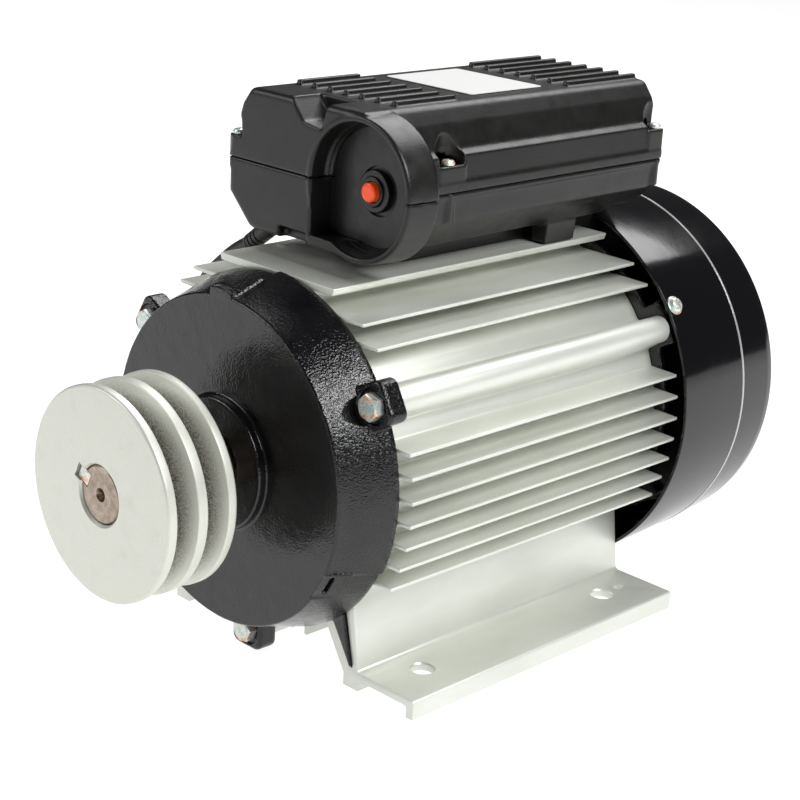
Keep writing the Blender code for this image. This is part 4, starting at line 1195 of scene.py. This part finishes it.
FLOOR_GAP = 0.0002                          # metres between the floor and the feet
CAMERA_PLACE = (0.5472, -0.5666, 0.3652)
CAMERA_ANGLES = (44.07, 18.91, 3.29)        # azimuth, elevation and roll, in degrees
LENS = 83.48                                # millimetres, for a sensor 36 mm wide


def make_floor():
    """White floor, large enough to fill the view and slightly luminous like a lit sweep."""
    work = bmesh.new()
    bmesh.ops.create_circle(work, cap_ends=True, segments=96, radius=12)
    mesh = bpy.data.meshes.new("studio_floor")
    work.to_mesh(mesh)
    work.free()
    white = Finish("studio_white", (0.32, 0.32, 0.32), 0.9)
    white.set("Emission Color", (1, 1, 1, 1))
    white.set("Emission Strength", 0.92)
    mesh.materials.append(white.made)
    floor = linked("studio_floor", mesh)
    floor.location = (0, 0, CAD_LOW.z - FLOOR_GAP)


def softbox(name, place, target, size, power):
    lamp = bpy.data.lights.new(name, "AREA")
    lamp.shape = "RECTANGLE"
    lamp.size, lamp.size_y = size
    lamp.energy = power
    item = linked(name, lamp)
    item.location = place
    item.rotation_euler = (Vector(target) - Vector(place)).to_track_quat("-Z", "Y").to_euler()


def make_lights():
    aim = (0, 0, 0.1)
    softbox("rear_top_box", (-0.3, 1.0, 1.5), aim, (1.5, 0.9), 25)
    softbox("right_box", (1.5, 0.1, 1.4), aim, (0.8, 0.8), 33)
    softbox("left_box", (-1.2, -1.5, 1.2), aim, (1.3, 1.1), 17)
    world = bpy.data.worlds.new("studio")
    world.use_nodes = True
    glow = world.node_tree.nodes["Background"].inputs
    glow["Color"].default_value = (1, 1, 1, 1)
    glow["Strength"].default_value = 0.05
    bpy.context.scene.world = world
    bpy.context.scene.view_settings.view_transform = "Standard"


def make_camera():
    azimuth, elevation, roll = (math.radians(a) for a in CAMERA_ANGLES)
    back = Vector((math.sin(azimuth) * math.cos(elevation), -math.cos(azimuth) * math.cos(elevation),
                   math.sin(elevation)))
    right = Vector((math.cos(azimuth), math.sin(azimuth), 0))
    up = back.cross(right)
    tilted_right = math.cos(roll) * right + math.sin(roll) * up
    tilted_up = math.cos(roll) * up - math.sin(roll) * right
    turn = Matrix((tilted_right, tilted_up, back)).transposed().to_4x4()
    lens = bpy.data.cameras.new("camera")
    lens.sensor_width = 36
    lens.lens = LENS
    camera = linked("camera", lens)
    camera.matrix_world = Matrix.Translation(CAMERA_PLACE) @ turn
    bpy.context.scene.camera = camera


def main():
    make_camera()
    zinc, cord_rubber, plastic = zinc_plate(), rubber(), textured_plastic()
    steel, enamel, gloss, red = shaft_steel(), cast_enamel(), smooth_enamel(), red_plastic()
    make_cord(cord_rubber, zinc)
    make_floor()
    make_lights()
    make_frame()
    make_front_bell(enamel)
    make_rear_bell(enamel)
    make_bolts(zinc)
    make_shaft(steel, zinc)
    make_pulley()
    make_cowl(gloss)
    make_cowl_screws(zinc)
    make_lid(plastic)
    make_base(plastic)
    make_lid_screws(zinc)
    make_reset(satin_plastic(), red)
    make_label()
    polished, cream = bearing_steel(), cream_plastic()
    finish_nodes({
        "frame_aluminium": die_cast(), "pulley_aluminium": die_cast(), "rotor_aluminium": die_cast(),
        "bell_black": enamel, "cowl_black": gloss, "shaft_steel": steel, "bearing_steel": polished,
        "zinc_steel": zinc, "laminations": laminations(), "copper_winding": copper_winding(),
        "bearing_cage": brass(), "box_black": plastic, "fan_black": satin_plastic(),
        "inner_plastic": cream, "cord_rubber": cord_rubber, "reset_red": red, "label_white": cream,
    })


main()
